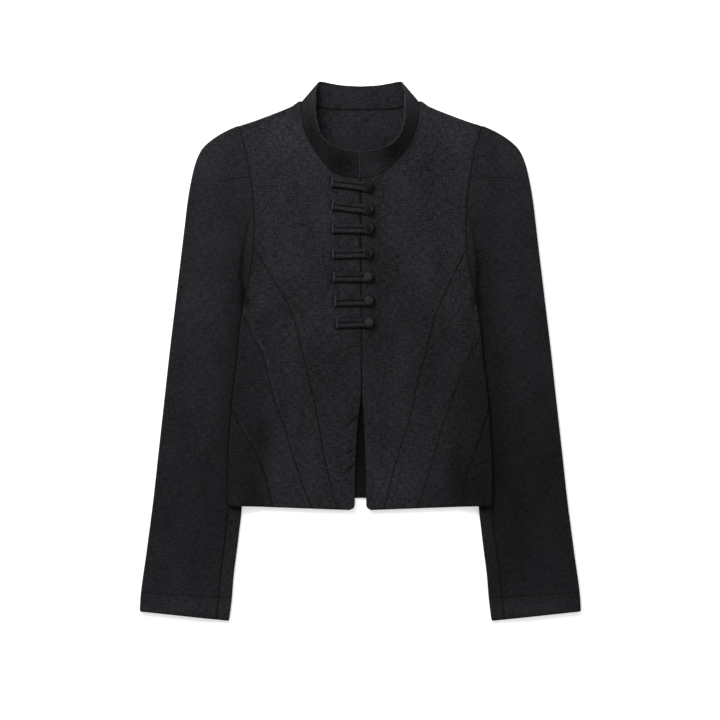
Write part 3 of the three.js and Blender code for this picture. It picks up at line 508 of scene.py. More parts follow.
threads = weave_in.outputs["Thread Map"]
sway = grain_noise(weave, threads, (260, 260, 1), 1.0)
swayed = vector_sum(weave, "ADD", threads, sum_of(weave, "MULTIPLY", sway, 0.0006))
pair = shader_node(weave, "ShaderNodeSeparateXYZ", [(0, swayed)])
warp_wave = sum_of(weave, "SINE", sum_of(weave, "MULTIPLY", pair.outputs[0], math.pi / WARP_PITCH))
weft_wave = sum_of(weave, "SINE", sum_of(weave, "MULTIPLY", pair.outputs[1], math.pi / WEFT_PITCH))
warp_round = sum_of(weave, "ABSOLUTE", warp_wave)
weft_round = sum_of(weave, "ABSOLUTE", weft_wave)
over = sum_of(weave, "MULTIPLY_ADD", sum_of(weave, "MULTIPLY", warp_wave, weft_wave), 3.0, 0.5,
              clamp=True)
warp_top, weft_top = (
    sum_of(weave, "MULTIPLY", own, sum_of(weave, "MULTIPLY_ADD", crossed, 0.4, 0.6))
    for own, crossed in ((warp_round, weft_round), (weft_round, warp_round)))
crossing = shader_node(weave, "ShaderNodeMix",
                       [("Factor", over), ("A", weft_top), ("B", warp_top)],
                       data_type="FLOAT").outputs["Result"]
warp_slub = ramped(weave, grain_noise(weave, threads, (760, 120, 1), 1.5), 0.40, 0.64)
weft_slub = ramped(weave, grain_noise(weave, threads, (110, 720, 3), 1.5), 0.40, 0.64)
slubs = sum_of(weave, "MULTIPLY_ADD", warp_slub, 0.5, sum_of(weave, "MULTIPLY", weft_slub, 0.5))
thin_places = ramped(weave, grain_noise(weave, threads, (150, 430, 9), 1.0), 0.44, 0.28)
speckle = ramped(weave, grain_noise(weave, threads, (430, 430, 5), 2.0, 0.65), 0.30, 0.70)
mottle = grain_noise(weave, threads, (26, 14, 2), 1.5)
tone = -0.58
for part, strength in ((speckle, 0.34), (slubs, 1.05), (thin_places, -0.34), (crossing, 0.22),
                       (sum_of(weave, "SUBTRACT", mottle, 0.5), 0.9)):
    tone = sum_of(weave, "MULTIPLY_ADD", part, strength, tone)
tone = sum_of(weave, "MULTIPLY_ADD", tone, weave_in.outputs["Contrast"], 1.0)
tone = sum_of(weave, "MAXIMUM", tone, 0.18)
shade = sum_of(weave, "MULTIPLY", tone, weave_in.outputs["Tone And Painted Light"])
seam_shade = sum_of(weave, "MULTIPLY_ADD", weave_in.outputs["Seam And Edge Dark"], -0.62, 1.0)
shade = sum_of(weave, "MULTIPLY", shade, seam_shade)
weave.links.new(vector_sum(weave, "SCALE", weave_in.outputs["Cloth Colour"], shade),
                weave_out.inputs["Colour"])
weave.links.new(ramped(weave, tone, 0.3, 1.7, 0.95, 0.80), weave_out.inputs["Roughness"])
thread_height = sum_of(weave, "MULTIPLY_ADD", slubs, 0.55, sum_of(weave, "MULTIPLY", crossing, 0.5))
weave.links.new(sum_of(weave, "MULTIPLY_ADD", speckle, 0.5, thread_height),
                weave_out.inputs["Height"])

# One straight line on the cloth: a soft dent along it and a row of stitches along its middle
line_group, line_in, line_out = node_group(
    "pressed_line",
    [("Place", "NodeSocketVector"), ("From", "NodeSocketVector"), ("To", "NodeSocketVector"),
     ("Half Width", "NodeSocketFloat"), ("Stitch Length", "NodeSocketFloat")],
    [("Dent", "NodeSocketFloat"), ("Thread", "NodeSocketFloat")])
flat_place = vector_sum(line_group, "MULTIPLY", line_in.outputs["Place"], (1, 1, 0))
line_way = vector_sum(line_group, "SUBTRACT", line_in.outputs["To"], line_in.outputs["From"])
line_start = vector_sum(line_group, "SUBTRACT", flat_place, line_in.outputs["From"])
line_share = sum_of(line_group, "DIVIDE",
                    vector_sum(line_group, "DOT_PRODUCT", line_start, line_way),
                    vector_sum(line_group, "DOT_PRODUCT", line_way, line_way), clamp=True)
line_far = vector_sum(line_group, "LENGTH", vector_sum(
    line_group, "SUBTRACT", line_start, vector_sum(line_group, "SCALE", line_way, line_share)))
line_length = vector_sum(line_group, "LENGTH", line_way)
line_near = sum_of(line_group, "DIVIDE", line_far, line_in.outputs["Half Width"])
dent = ramped(line_group, line_near, 0.0, 1.0, 1.0, 0.0)
stitch_run = sum_of(line_group, "DIVIDE", sum_of(line_group, "MULTIPLY", line_share, line_length),
                    line_in.outputs["Stitch Length"])
stitch_wave = ramped(line_group, sum_of(line_group, "PINGPONG", stitch_run, 0.5), 0.08, 0.16)
thread_mask = sum_of(line_group, "MULTIPLY", ramped(line_group, line_near, 0.15, 0.35, 1.0, 0.0),
                     stitch_wave)
line_group.links.new(dent, line_out.inputs["Dent"])
line_group.links.new(thread_mask, line_out.inputs["Thread"])


def linen_cloth(name, colour, lines=(), contrast=1.0, sheen=0.02):
    """Linen for one piece and the lines on it, each from x, y to x, y with its half width and its
    kind: a pressed line is dented and painted dark as shade in its dent, a sewn one has stitches
    too and a shaded one is only a painted shadow."""
    cloth = bpy.data.materials.new(name)
    cloth.use_nodes = True
    tree = cloth.node_tree
    shader = tree.nodes["Principled BSDF"]
    shader.inputs["Sheen Weight"].default_value = sheen
    shader.inputs["Sheen Roughness"].default_value = 0.45
    shader.inputs["Specular IOR Level"].default_value = 0.07
    edge_dark, tone_and_painted_light = (shader_node(tree, "ShaderNodeAttribute", attribute_name=kind).outputs["Fac"]
                    for kind in ("seam_and_edge_dark", "tone_and_painted_light"))
    linen = shader_node(
        tree, "ShaderNodeGroup", node_tree=weave,
        links=[("Thread Map", shader_node(tree, "ShaderNodeUVMap", uv_map="thread_map").outputs[0]),
               ("Cloth Colour", (*colour, 1)), ("Seam And Edge Dark", edge_dark), ("Tone And Painted Light", tone_and_painted_light),
               ("Contrast", contrast)])
    colour, height = linen.outputs["Colour"], linen.outputs["Height"]
    spot = shader_node(tree, "ShaderNodeTexCoord").outputs["Object"]
    dents, stitches, shadows = [], [], []
    for x1, y1, x2, y2, half, kind in lines:
        line = shader_node(tree, "ShaderNodeGroup", node_tree=line_group,
                           links=[("Place", spot), ("From", (x1 * MM, y1 * MM, 0)),
                                  ("To", (x2 * MM, y2 * MM, 0)),
                                  ("Half Width", half * MM), ("Stitch Length", STITCH_LENGTH)])
        (shadows if kind == "shaded" else dents).append(line.outputs["Dent"])
        if kind == "sewn":
            stitches.append(line.outputs["Thread"])
    # Dented lines are painted dark as shade in their dents, stitches are lighter thread, and shaded
    # lines are painted shadow
    for masks, cover, tint, lift in ((dents, 0.62, (0.002, 0.002, 0.0025, 1), -2.6),
                                     (stitches, 0.8, (0.020, 0.0195, 0.022, 1), 2.2),
                                     (shadows, 0.9, (0.0015, 0.0015, 0.002, 1), 0)):
        if not masks:
            continue
        mask = masks[0]
        for other in masks[1:]:
            mask = sum_of(tree, "MAXIMUM", mask, other)
        colour = shader_node(tree, "ShaderNodeMix",
                             [("Factor", sum_of(tree, "MULTIPLY", mask, cover)),
                              ("A", colour), ("B", tint)], data_type="RGBA").outputs["Result"]
        if lift:
            height = sum_of(tree, "MULTIPLY_ADD", mask, lift, height)
    bump = shader_node(tree, "ShaderNodeBump",
                       [("Strength", 0.75), ("Distance", 0.00032), ("Height", height)])
    tree.links.new(colour, shader.inputs["Base Color"])
    tree.links.new(linen.outputs["Roughness"], shader.inputs["Roughness"])
    tree.links.new(bump.outputs["Normal"], shader.inputs["Normal"])
    return cloth


# Painted light and shade on the body: painted highlight over the shoulders and chest, more on the
# left, lighter patches at the front hem, and painted shade down the sides and deep at each
# underarm. Each patch has its middle, its reach across and up, and what it adds
BODY_PAINTED_LIGHT = [
    (-95, 292, 60, 40, 0.42), (95, 292, 60, 40, 0.25), (-110, 190, 80, 60, 0.12),
    (60, 150, 60, 60, 0.06), (0, -20, 90, 70, -0.12), (40, -190, 60, 50, 0.15),
    (-50, -195, 60, 45, 0.12), (-98, -170, 26, 50, 0.24), (-172, -120, 26, 150, -0.36),
    (174, -120, 28, 160, -0.46), (-140, -180, 24, 70, -0.34), (138, -175, 28, 80, -0.32),
    (-150, -10, 22, 70, -0.12), (146, -20, 30, 80, -0.2), (108, -20, 34, 60, -0.1),
    (-146, -190, 16, 30, -0.12), (140, -190, 20, 34, -0.14), (32, 90, 11, 70, -0.2),
    (70, 60, 40, 60, -0.08), (-20, -20, 60, 50, -0.05), (-95, -190, 24, 24, -0.1),
    (95, -190, 24, 24, -0.16), (-108, 300, 30, 24, 0.14), (98, -30, 24, 50, -0.08),
    (-133, -112, 12, 36, -0.2), (124, -148, 14, 46, -0.16), (-151, 68, 4, 9, -0.6),
    (151, 68, 4, 9, -0.6)]
back_linen = linen_cloth(
    "back_linen", CHARCOAL,
    [(-176, -178, 0, -163, 0.8, "pressed"), (0, -163, 176, -178, 0.8, "pressed")])
# The back is painted much darker down its middle, as shade where it shows between the fronts
back_sheet, _ = cut_cloth(
    join_halves(back_half(-1, 84, 200), back_half(1, 84, 200)),
    (0.92, BODY_PAINTED_LIGHT + [(0, -140, 18, 150, -0.85)]))
back_piece = hand_over("back_cloth", back_sheet, back_linen, "back", CLOTH_THICK)

# Centre fronts: one at each side of the opening, cut from the shoulder and the armhole to
# the hem, with the curved princess seam outside and a folded facing at the front edge.
# The fronts meet edge to edge and part below the last loop.
CORNER_ROUND = 7  # radius of the lower front corners
front_edge_x = {
    -1: measured_line([(-215, -7.5), (-160, -7.0), (-106, -4.2), (-84, -2.1), (-58, 1.0), (0, 1.7),
                       (150, -0.2), (240, -0.3)]),
    1: measured_line([(-215, 8.0), (-160, 7.5), (-106, 5.3), (-84, 4.4), (-58, 2.3), (0, 2.2),
                      (150, 0.3), (240, 0.3)])}
princess_x = {
    -1: measured_line([(-215, 30), (-144, 47.6), (-93.5, 56.5), (-35, 69), (0, 77.7),
                       (45.6, 89.5), (UNDERARM_Y, 107), (97, 117), (PRINCESS_TOP_Y, 143.0)]),
    1: measured_line([(-215, 30), (-144, 49.5), (-93.5, 65.5), (-35, 79.1), (0, 89.2),
                      (45.6, 100.6), (UNDERARM_Y, 115), (97, 123), (PRINCESS_TOP_Y, 143.0)])}
NECK_SIDE = [(67.5, 283), (77.5, 310), NECK_POINT]
FRONT_NECK = {
    -1: drawn_line([(0, 233), (21, 235.5), (37, 242), (53, 260)] + NECK_SIDE),
    1: drawn_line([(0, 232), (19, 235.5), (36, 245), (52, 261)] + NECK_SIDE)}


def centre_front(side, columns, rows):
    u, share, y = body_rows(FRONT_RUN, columns, rows)
    outer = np.where(y < PRINCESS_TOP_Y, princess_x[side](y), armhole_x(y)) + SEAM_LAP / 2
    dip = np.maximum(0, CORNER_ROUND - (y - HEM_Y))
    inner = (side * front_edge_x[side](y) + CORNER_ROUND
             - np.sqrt(CORNER_ROUND ** 2 - dip ** 2))
    x = mix(outer, inner, u)
    low = flank(side, x, slid_to_hem(y, x, True), True, BODY_THICK)
    lower = either(y > UNDERARM_Y, chest(side, x, y, True), low)
    neck_x, neck_y = along(FRONT_NECK[side], share)
    y_high = mix(CHEST_TOP_Y, SHOULDER_Y, share)
    end_x = armhole_x(y_high) + SEAM_LAP / 2
    x_high, y_row = mix(end_x, neck_x, u), mix(y_high, neck_y, u)
    y_row = y_row + share ** 3 * (back_top_y(x_high) - mix(SHOULDER_Y, NECK_POINT[1], u))
    return either(share > 0, chest(side, x_high, y_row, True), lower)


# Left end of each loop, on the left front, and the middle of its button
FASTENINGS = [(-39.4, 228.4, 10.1, 222.4), (-38.6, 197.4, 11.0, 191.6),
              (-38.5, 166.0, 11.4, 165.7), (-38.3, 131.6, 10.0, 133.0),
              (-37.0, 100.4, 10.4, 100.7), (-35.4, 67.6, 11.3, 68.9), (-32.8, 38.2, 11.7, 39.8)]
FRONT_LINES = {
    -1: [(-30.4, 231, -30.2, 214, 0.9, "sewn"), (-30.2, 214, -27.6, 105, 0.9, "sewn"),
         (-27.6, 105, -25.9, 0.5, 0.9, "sewn"), (-25.9, 0.5, -12, 6, 1.3, "pressed"),
         (-12, 6, 0, 7.8, 1.3, "pressed"), (-22, -8.5, -11, -2, 1.4, "pressed"),
         (-3, -87, -11, -93, 2.8, "pressed"), (-11, -93, -18, -101, 2.2, "pressed"),
         (-4, -88, -13, -95, 1.7, "shaded"), (-9, -131, -15.5, -136, 1.6, "shaded"),
         (-10, -153, -16, -159, 1.9, "shaded"), (-8, -129, -17, -137.5, 2.2, "pressed"),
         (-9, -151.5, -18, -161, 2.5, "pressed"), (-13, -162, -27, -162, 1.2, "pressed")],
    1: [(25.2, 231, 24.8, 60, 0.8, "sewn"), (24.8, 60, 23.4, 4, 0.8, "sewn"),
        (1.0, 232, 1.0, 60, 1.7, "shaded"), (1.2, 60, 2.2, 2, 1.2, "shaded")]}
for left_x, left_y, button_x, button_y in FASTENINGS:
    for side in (-1, 1):
        FRONT_LINES[side].append(
            (left_x + 1, left_y - 7.4, button_x, button_y - 8.6, 1.9, "shaded"))
    FRONT_LINES[-1].append((left_x - 1.0, left_y - 7, left_x - 1.0, left_y + 7, 1.3, "shaded"))
BUTTON_SHADE = [(x + 4, y - 4.5, 7, 7, -0.5) for _, _, x, y in FASTENINGS]
for side, side_name in SIDES:
    front_name = f"centre_front_{side_name}"
    front_linen = linen_cloth(front_name + "_linen", CHARCOAL, FRONT_LINES[side], 1.15)
    front_sheet, _ = cut_cloth(centre_front(side, 84, 280),
                               (0.92, BODY_PAINTED_LIGHT + BUTTON_SHADE + [(12, 130, 14, 90, -0.14)]),
                               seams=("left", "top"), folds=("right", "foot"))
    front = hand_over(front_name + "_cloth", front_sheet, front_linen, front_name,
                      CLOTH_THICK)

# Side fronts: a shaped panel at each side between the princess seam and the second seam,
# running from a point at the armhole to the hem. Both its long seams are pressed open.
SIDE_FRONT_TOP_Y = 137.4
seam_two = {
    -1: measured_line([(-215, 115), (-151.5, 92), (-97.5, 73), (-51.6, 53), (-2.4, 35),
                       (20, 20.5), (36, 13), (55, 0.2), (90, 0)]),
    1: measured_line([(-215, 104), (-151.5, 83), (-97.5, 64.5), (-51.6, 44), (-2.4, 17.5),
                      (20, 4), (36, 0.4), (55, 0), (90, 0)])}


def side_seam(side, y):
    """The second seam by its distance round the side fold: just behind it under the arm."""
    in_front = seam_two[side](y)
    return in_front - 1.8 * ease(1 - in_front / 5) * ease((UNDERARM_Y - y) / 10)


def side_front(side, columns, rows):
    y = mix(HEM_Y, SIDE_FRONT_TOP_Y, shares(rows))[:, None] + np.zeros(columns + 1)
    u = shares(columns)[None, :]
    start = np.where(y <= UNDERARM_Y, side_seam(side, y) - SEAM_LAP / 2, 0.1)
    edge = np.where(y <= UNDERARM_Y, side_fold_x(y), armhole_x(y))
    fold_spare = TURN_SPARE * BODY_RADIUS * (1 - ease((y - UNDERARM_Y) / FOLD_FADE))
    end = np.maximum(edge - princess_x[side](y) + SEAM_LAP / 2 + fold_spare, start + 0.3)
    return round_body(side, mix(start, end, u ** 1.5), y)


SIDE_FRONT_LINES = {
    -1: [(-155.5, 80, -154.5, 66, 6.0, "shaded")],
    1: [(155.5, 80, 155.8, 66, 4.4, "shaded")]}
# Painted highlight on the raised ridge beside the left seams
SEAM_RIDGE_HIGHLIGHT = [(x, y, 2.4, 7, 0.26) for x, y in (
    (-144.4, 30), (-139.5, 20), (-134.2, 10.5), (-130.2, 1), (-127, -9), (-124, -19),
    (-121, -31), (-117.8, -43), (-114.5, -54), (-111, -65), (-158, -101), (-153, -111),
    (-148, -121), (-143, -131), (-138.5, -141))]
for side, side_name in SIDES:
    side_front_name = f"side_front_{side_name}"
    side_linen = linen_cloth(side_front_name + "_linen", CHARCOAL, SIDE_FRONT_LINES[side], 1.15)
    side_sheet, _ = cut_cloth(side_front(side, 56, 190), (0.90, BODY_PAINTED_LIGHT + SEAM_RIDGE_HIGHLIGHT),
                              side * 0.12)
    side_piece = hand_over(side_front_name + "_cloth", side_sheet, side_linen, side_front_name,
                           CLOTH_THICK)

# Side panels: a narrow panel under each arm that starts on the front and wraps round the
# side fold to the back. It joins the side front to the back with two pressed-open seams.
SIDE_PANEL_TOP_Y = 152
PULLED_THREAD = [(158, -126, 154.5, -130, 2.0, "shaded"), (155, -131, 152.5, -137, 1.3, "sewn"),
                 (153, -131, 151, -136, 1.3, "sewn")]


def side_panel(side, columns, rows):
    y = mix(HEM_Y, SIDE_PANEL_TOP_Y, shares(rows))[:, None] + np.zeros(columns + 1)
    u = shares(columns)[None, :]
    start = side_seam(side, y) + SEAM_LAP / 2
    end = np.minimum(seam_three[side](y) - SEAM_LAP / 2, start - 0.5)
    return round_body(side, mix(start, end, u), y)


for side, side_name in SIDES:
    panel_name = f"side_panel_{side_name}"
    panel_linen = linen_cloth(panel_name + "_linen", CHARCOAL, PULLED_THREAD)
    panel_sheet, _ = cut_cloth(side_panel(side, 66, 190), (0.88, BODY_PAINTED_LIGHT + SEAM_RIDGE_HIGHLIGHT),
                               side * 0.08)
    panel = hand_over(panel_name + "_cloth", panel_sheet, panel_linen, panel_name,
                      CLOTH_THICK)

# Sleeves: two panels each, set into the armhole with a small dart across the puffed cap.
# The top sleeve wraps round the outer fold; the under sleeve runs round the inner fold,
# which lies beneath the side of the body. Each cuff has a deep turned-up hem.
CUFF_INNER_Y, CUFF_OUTER_Y = -362.3, -349.4
CAP_OUTER_Y = 90.5
inner_fold_x = measured_line([(CUFF_INNER_Y, 176.5), (-332.4, 172.8), (-300, 170.1),
                              (-267.6, 166.0),
                              (-240.6, 162.7), (-208, 159.3), (-140, 157.6), (-60, 155.4),
                              (0, 152.0), (28, 150.8), (60, 151.6), (UNDERARM_Y, 153.2)])
outer_fold_x = measured_line([(y, x) for x, y in SLEEVE_FOLD[5:]])
CAP_FOLD = np.array([(float(outer_fold_x(CAP_OUTER_Y)), CAP_OUTER_Y)]
                    + [tuple(p) for p in drawn_line(SLEEVE_FOLD)[::-1] if p[1] > 90.6])
LOW_SHARE = 0.664  # share of the rows that lie below the underarm
UNDER_TOP_SHARE = LOW_SHARE + 0.336 * 0.592  # where the under sleeve ends
TOP_OVER, UNDER_OVER = 0.68, 0.24  # share of a row of each sleeve panel that lies on top
TAKEN_BELOW = 25  # how far the top sleeve runs round beneath
INNER_THICK, SLEEVE_THICK = 4.4, 6.0  # laid thickness under the body's side and beside it
THICKER_Y = 62  # from here up to the underarm the sleeve grows as thick as the body
UNDER_COLUMNS, UNDER_LOW_ROWS = 60, 185


def sleeve_ends(v):
    """Inner and outer end of each row of the sleeve, up from the cuff."""
    low = v <= LOW_SHARE
    share = np.clip(v / LOW_SHARE, 0, 1)
    cap = np.clip((v - LOW_SHARE) / (1 - LOW_SHARE), 0, 1) * 0.996
    y = np.where(low, mix(CUFF_INNER_Y, UNDERARM_Y, share), mix(UNDERARM_Y, SHOULDER_Y, cap))
    inner_x = np.where(low, inner_fold_x(y), armhole_x(y) - SEAM_LAP / 2)
    outer_y = mix(CUFF_OUTER_Y, CAP_OUTER_Y, share)
    cap_x, cap_y = along(CAP_FOLD, cap)
    return (low, inner_x, y, np.where(low, outer_fold_x(outer_y), cap_x),
            np.where(low, outer_y, cap_y))


def sleeve_place(side, ends, far, above):
    """The sleeve at a distance in from the inner end of its row."""
    low, inner_x, inner_y, outer_x, outer_y = ends
    length = np.hypot(outer_x - inner_x, outer_y - inner_y)
    t = np.clip(far / length, 0, 1)
    x, y = mix(inner_x, outer_x, t), mix(inner_y, outer_y, t)
    thick = mix(mix(INNER_THICK, SLEEVE_THICK, ease((far - 14) / 24)), BODY_THICK,
                ease((y - THICKER_Y) / (UNDERARM_Y - THICKER_Y)))
    edge, out_x, out_y = distance_in(x, y, OUTER_FOLD)
    fold = np.where(t >= 1, 0, edge), out_x, out_y
    fold = [np.where(low, a, b) for a, b in zip(fold, drawn_to_underarm(x, y, *fold))]
    inner = low & (far < fold[0])
    fold = [np.where(inner, a, b) for a, b in zip((far, -1, 0), fold)]
    return lay(side, x, y, above, 0, thick, fold)


# Distance of the sleeve's front seam from its inner fold: it runs up under the body's side
front_seam = measured_line([(CUFF_INNER_Y, 17.5), (-200, 17.5), (-140, 16), (-98, 14.5),
                            (-75, 13), (-38, 9.5), (-11, 6.5), (29, 3.4), (UNDERARM_Y, 3.4)])


def sleeve_grid(columns, low_rows, cap_rows, top):
    """Rows up the sleeve, one of them level with the underarm: their ends, their length and
    how much of it the top sleeve takes beneath."""
    v = np.concatenate((np.linspace(0, LOW_SHARE, low_rows, endpoint=False),
                        np.linspace(LOW_SHARE, top, cap_rows + 1)))[:, None]
    ends = [np.broadcast_to(part, (len(v), columns + 1)) for part in sleeve_ends(v)]
    _, inner_x, y, outer_x, outer_y = ends
    length = np.hypot(outer_x - inner_x, outer_y - y)
    return ends, length, mix(TAKEN_BELOW, length, ease((y - 150) / 65))


def top_sleeve(side, columns, low_rows, cap_rows):
    u = shares(columns)[None, :]
    ends, length, taken = sleeve_grid(columns, low_rows, cap_rows, 1)
    start = np.where(ends[0], front_seam(ends[2]) - SEAM_LAP / 2, 0)
    under = np.minimum(taken + SEAM_LAP / 2, length)
    over = 1 - (1 - np.clip(u / TOP_OVER, 0, 1)) ** 1.5
    beneath = np.clip((u - TOP_OVER) / (1 - TOP_OVER), 0, 1) ** 1.5
    far = np.where(u <= TOP_OVER, mix(start, length, over), length - under * beneath)
    return sleeve_place(side, ends, far, np.broadcast_to(u <= TOP_OVER, far.shape))


def under_sleeve(side, columns, low_rows, cap_rows):
    u = shares(columns)[None, :]
    ends, length, taken = sleeve_grid(columns, low_rows, cap_rows, UNDER_TOP_SHARE)
    start = np.where(ends[0], front_seam(ends[2]) + SEAM_LAP / 2, 0.02)
    rest = length - taken + SEAM_LAP / 2
    over = (1 - np.clip(u / UNDER_OVER, 0, 1)) ** 1.4
    beneath = np.clip((u - UNDER_OVER) / (1 - UNDER_OVER), 0, 1) ** 1.3
    far = np.where(u <= UNDER_OVER, start * over, np.maximum(rest, 0.5) * beneath)
    return sleeve_place(side, ends, far, np.broadcast_to(u <= UNDER_OVER, far.shape))


SLEEVE_LINES = {
    -1: [(-157.5, 88, -155.5, 64, 5.0, "shaded"), (-176.4, -209.6, -161.5, -211.6, 3.4, "shaded"),
         (-298, -324.0, -171, -331.0, 1.0, "pressed"),
         (-147, 234.6, -193.7, 229.6, 1.1, "pressed"),
         (-150, 174, -157, 137, 1.8, "pressed"), (-157, 137, -161, 102, 2.6, "pressed"),
         (-161, 102, -156.5, 73, 3.4, "pressed")],
    1: [(158, 84, 156.5, 66, 4.2, "shaded"), (161, -211.0, 177.6, -209.0, 3.4, "shaded"),
        (171, -331.0, 298, -324.0, 1.0, "pressed"), (150, 234.6, 201.8, 233.0, 1.1, "pressed"),
        (150.5, 168, 157, 134, 1.8, "pressed"), (157, 134, 160.5, 102, 2.4, "pressed"),
        (160.5, 102, 156.5, 75, 3.2, "pressed")]}
# Tone of each sleeve with painted light and shade: the right sleeve painted darker overall, a
# painted highlight on the puffed cap, painted shade along the inner side next to the body and at
# the underarm, and a lighter band at the cuff. Each entry is the even part, then patches with
# middle, reach across and up, and what they add
SLEEVE_TONE_AND_PAINTED_LIGHT = {
    -1: (0.84, [(-200, 265, 50, 45, 0.3), (-210, 60, 26, 150, 0.18), (-163, 60, 16, 90, -0.28),
                (-158.5, 108, 4.5, 34, -0.32), (-158, 68, 5, 10, -0.45),
                (-180, -60, 18, 150, -0.2), (-232, -344, 60, 13, 0.42),
                (-215, -190, 70, 130, -0.19)]),
    1: (0.74, [(200, 265, 50, 45, 0.3), (212, 80, 28, 120, 0.05), (163, 60, 16, 90, -0.26),
               (158.5, 106, 4.5, 32, -0.32), (158, 68, 5, 10, -0.45),
               (178, -100, 20, 170, -0.22), (232, -344, 60, 13, 0.42),
               (220, -180, 80, 150, -0.32)])}
# Painted shade on the sleeve, in a dark band close along the side of the body
BODY_SIDE = [(y, float(side_fold_x(y)) + 0.4) for y in (-209, -140, -98, -60, -11, 29, 66)]
for side, side_name in SIDES:
    SLEEVE_LINES[side] += [(side * x1, y1, side * x2, y2, 2.8 - side * 0.8, "shaded")
                           for (y1, x1), (y2, x2) in zip(BODY_SIDE[:-1], BODY_SIDE[1:])]
    sleeve_linen = linen_cloth(f"sleeve_{side_name}_linen", CHARCOAL, SLEEVE_LINES[side], 0.85)
    top_name, under_name = f"top_sleeve_{side_name}", f"under_sleeve_{side_name}"
    even, patches = SLEEVE_TONE_AND_PAINTED_LIGHT[side]
    top_sheet, _ = cut_cloth(top_sleeve(side, 110, 200, 100), (even, patches), side * 0.13)
    top = hand_over(top_name + "_cloth", top_sheet, sleeve_linen, top_name,
                    CLOTH_THICK)
    under_sheet, spots = cut_cloth(under_sleeve(side, UNDER_COLUMNS, UNDER_LOW_ROWS, 55),
                                   (even + 0.1, patches), side * 0.10)
    # Above the underarm no part of this panel lies on top, so its first columns go there
    empty = [face for face in under_sheet.faces
             if all(spots[v][0] > UNDER_LOW_ROWS and spots[v][1] <= UNDER_COLUMNS / 4
                    for v in face.verts)]
    bmesh.ops.delete(under_sheet, geom=empty, context="FACES")
    under_piece = hand_over(under_name + "_cloth", under_sheet, sleeve_linen, under_name,
                            CLOTH_THICK)

# Stand collar: one stiffened double band of the same linen round the neck, open at the
# centre front, where its two ends meet. It stands up and leans forward in front.
COLLAR_THICK = 2.2
collar_front = [measured_line([(f, value) for f, value in zip(
    (0, 0.13, 0.26, 0.42, 0.61, 0.81, 0.92, 1), values)]) for values in (
        (0, 17, 32, 46.5, 56.5, 61, 60.5, 58.5),
        (268.3, 269.8, 273.8, 281, 296, 323, 345.5, 359.5),
        (17, 19, 22.5, 27, 30, 27.5, 18, 10))]
collar_back = [measured_line([(seam, value) for seam, value in zip((80, 70, 56, 30, 0), values)])
               for values in ((57, 51, 40, 22, 0), (364.2, 363.8, 361.6, 358.8, 357.6),
                              (5.6, 1.2, 0, 0, 0))]


def collar_half(side, front_count, back_count, rows):
    """One half of the band, as rows from the neck seam up to the free edge."""
    f = np.linspace(0, 0.985, front_count)
    seam_x, seam_y = along(FRONT_NECK[side], f)
    neck = FRONT_NECK[side]
    ahead, behind = along(neck, f + 0.01), along(neck, np.maximum(f - 0.01, 0))
    way = np.hypot(ahead[0] - behind[0], ahead[1] - behind[1])
    near_split = np.clip(1 - f / 0.13, 0, 1) * (2.3 if side < 0 else -1.7)
    low, _, _ = chest(side, seam_x + near_split, seam_y, np.full(f.shape, True))
    low = low - np.stack((side * -(ahead[1] - behind[1]) / way * SEAM_LAP,
                          (ahead[0] - behind[0]) / way * SEAM_LAP, 0 * f), -1)
    up = np.stack((side * (collar_front[0](f) + near_split), collar_front[1](f),
                   collar_front[2](f)), -1)
    seam = np.linspace(NECK_POINT[0], 0, back_count)
    back_low, _, _ = chest(side, seam, back_top_y(seam), np.full(seam.shape, False))
    back_low[..., 1] -= SEAM_LAP
    back_up = np.stack((side * collar_back[0](seam), *(line(seam) for line in collar_back[1:])),
                       -1)
    low, up = np.concatenate((low, back_low)), np.concatenate((up, back_up))
    t = shares(rows)[None, :, None]
    band = mix(low[:, None], up[:, None], t)
    band[..., 2] = mix(low[:, 2][:, None], up[:, 2][:, None], t[..., 0] ** 1.25)
    return band


COLLAR_ROWS = 34
band_left = collar_half(-1, 90, 46, COLLAR_ROWS)
band_right = collar_half(1, 90, 46, COLLAR_ROWS)
band = np.concatenate((band_left, band_right[::-1][1:]))
for _ in range(3):
    band[1:-1] = (band[:-2] + 2 * band[1:-1] + band[2:]) / 4
run_way = np.gradient(band, axis=0)
up_way = np.gradient(band, axis=1)
band_facing = np.cross(up_way, run_way)
band_facing /= np.linalg.norm(band_facing, axis=-1, keepdims=True)
band_run = np.cumsum(np.linalg.norm(np.diff(band, axis=0, prepend=band[:1]), axis=-1), axis=0)
band_rise = np.cumsum(np.linalg.norm(np.diff(band, axis=1, prepend=band[:, :1]), axis=-1), axis=1)
collar_linen = linen_cloth("stand_collar_linen", CHARCOAL)
# Painted shade on the band's front and sides where it leans away from the light, a little painted
# light near the middle front and at the back, and a painted highlight along the free edge and the
# ends
collar_sheet, collar_spots = cut_cloth(
    tuple(np.swapaxes(part, 0, 1) for part in (
        band, band_facing, np.stack((band_run[:, :1] + 0 * band_rise, band_rise), -1))),
    (0.86, [(-30, 250, 26, 18, -0.55), (-64, 290, 11, 36, -0.48), (68, 286, 14, 20, -0.14),
            (43, 270, 17, 12, -0.4), (20, 246, 16, 12, 0.12), (0, 350, 60, 14, 0.1)]),
    seams=("foot",), folds=("left", "right", "top"), roll=0.5)
rim_light = collar_sheet.verts.layers.float["tone_and_painted_light"]
for vert, (i, j) in collar_spots.items():
    if i == COLLAR_ROWS or j in (0, len(band) - 1):
        vert[rim_light] = 1.75 if i == COLLAR_ROWS else 2.4
collar = hand_over("stand_collar_cloth", collar_sheet, collar_linen, "stand_collar",
                   COLLAR_THICK)

# Loops: seven rouleaux of bias-cut linen, each folded into a loop with its two runs side
# by side. Both ends are caught under a short cord bar, and the bend goes round a button.
RUN_HALF, BEND_RADIUS = 3.25, 6.3  # of the two runs, apart from their middle, and the bend
CORD_HALF, BEND_HALF = 3.1, 2.3  # half width of the cord along its runs and round the bend
CORD_Z, BAR_Z = 8.4, 9.2
BAR_HALF_LENGTH = 7


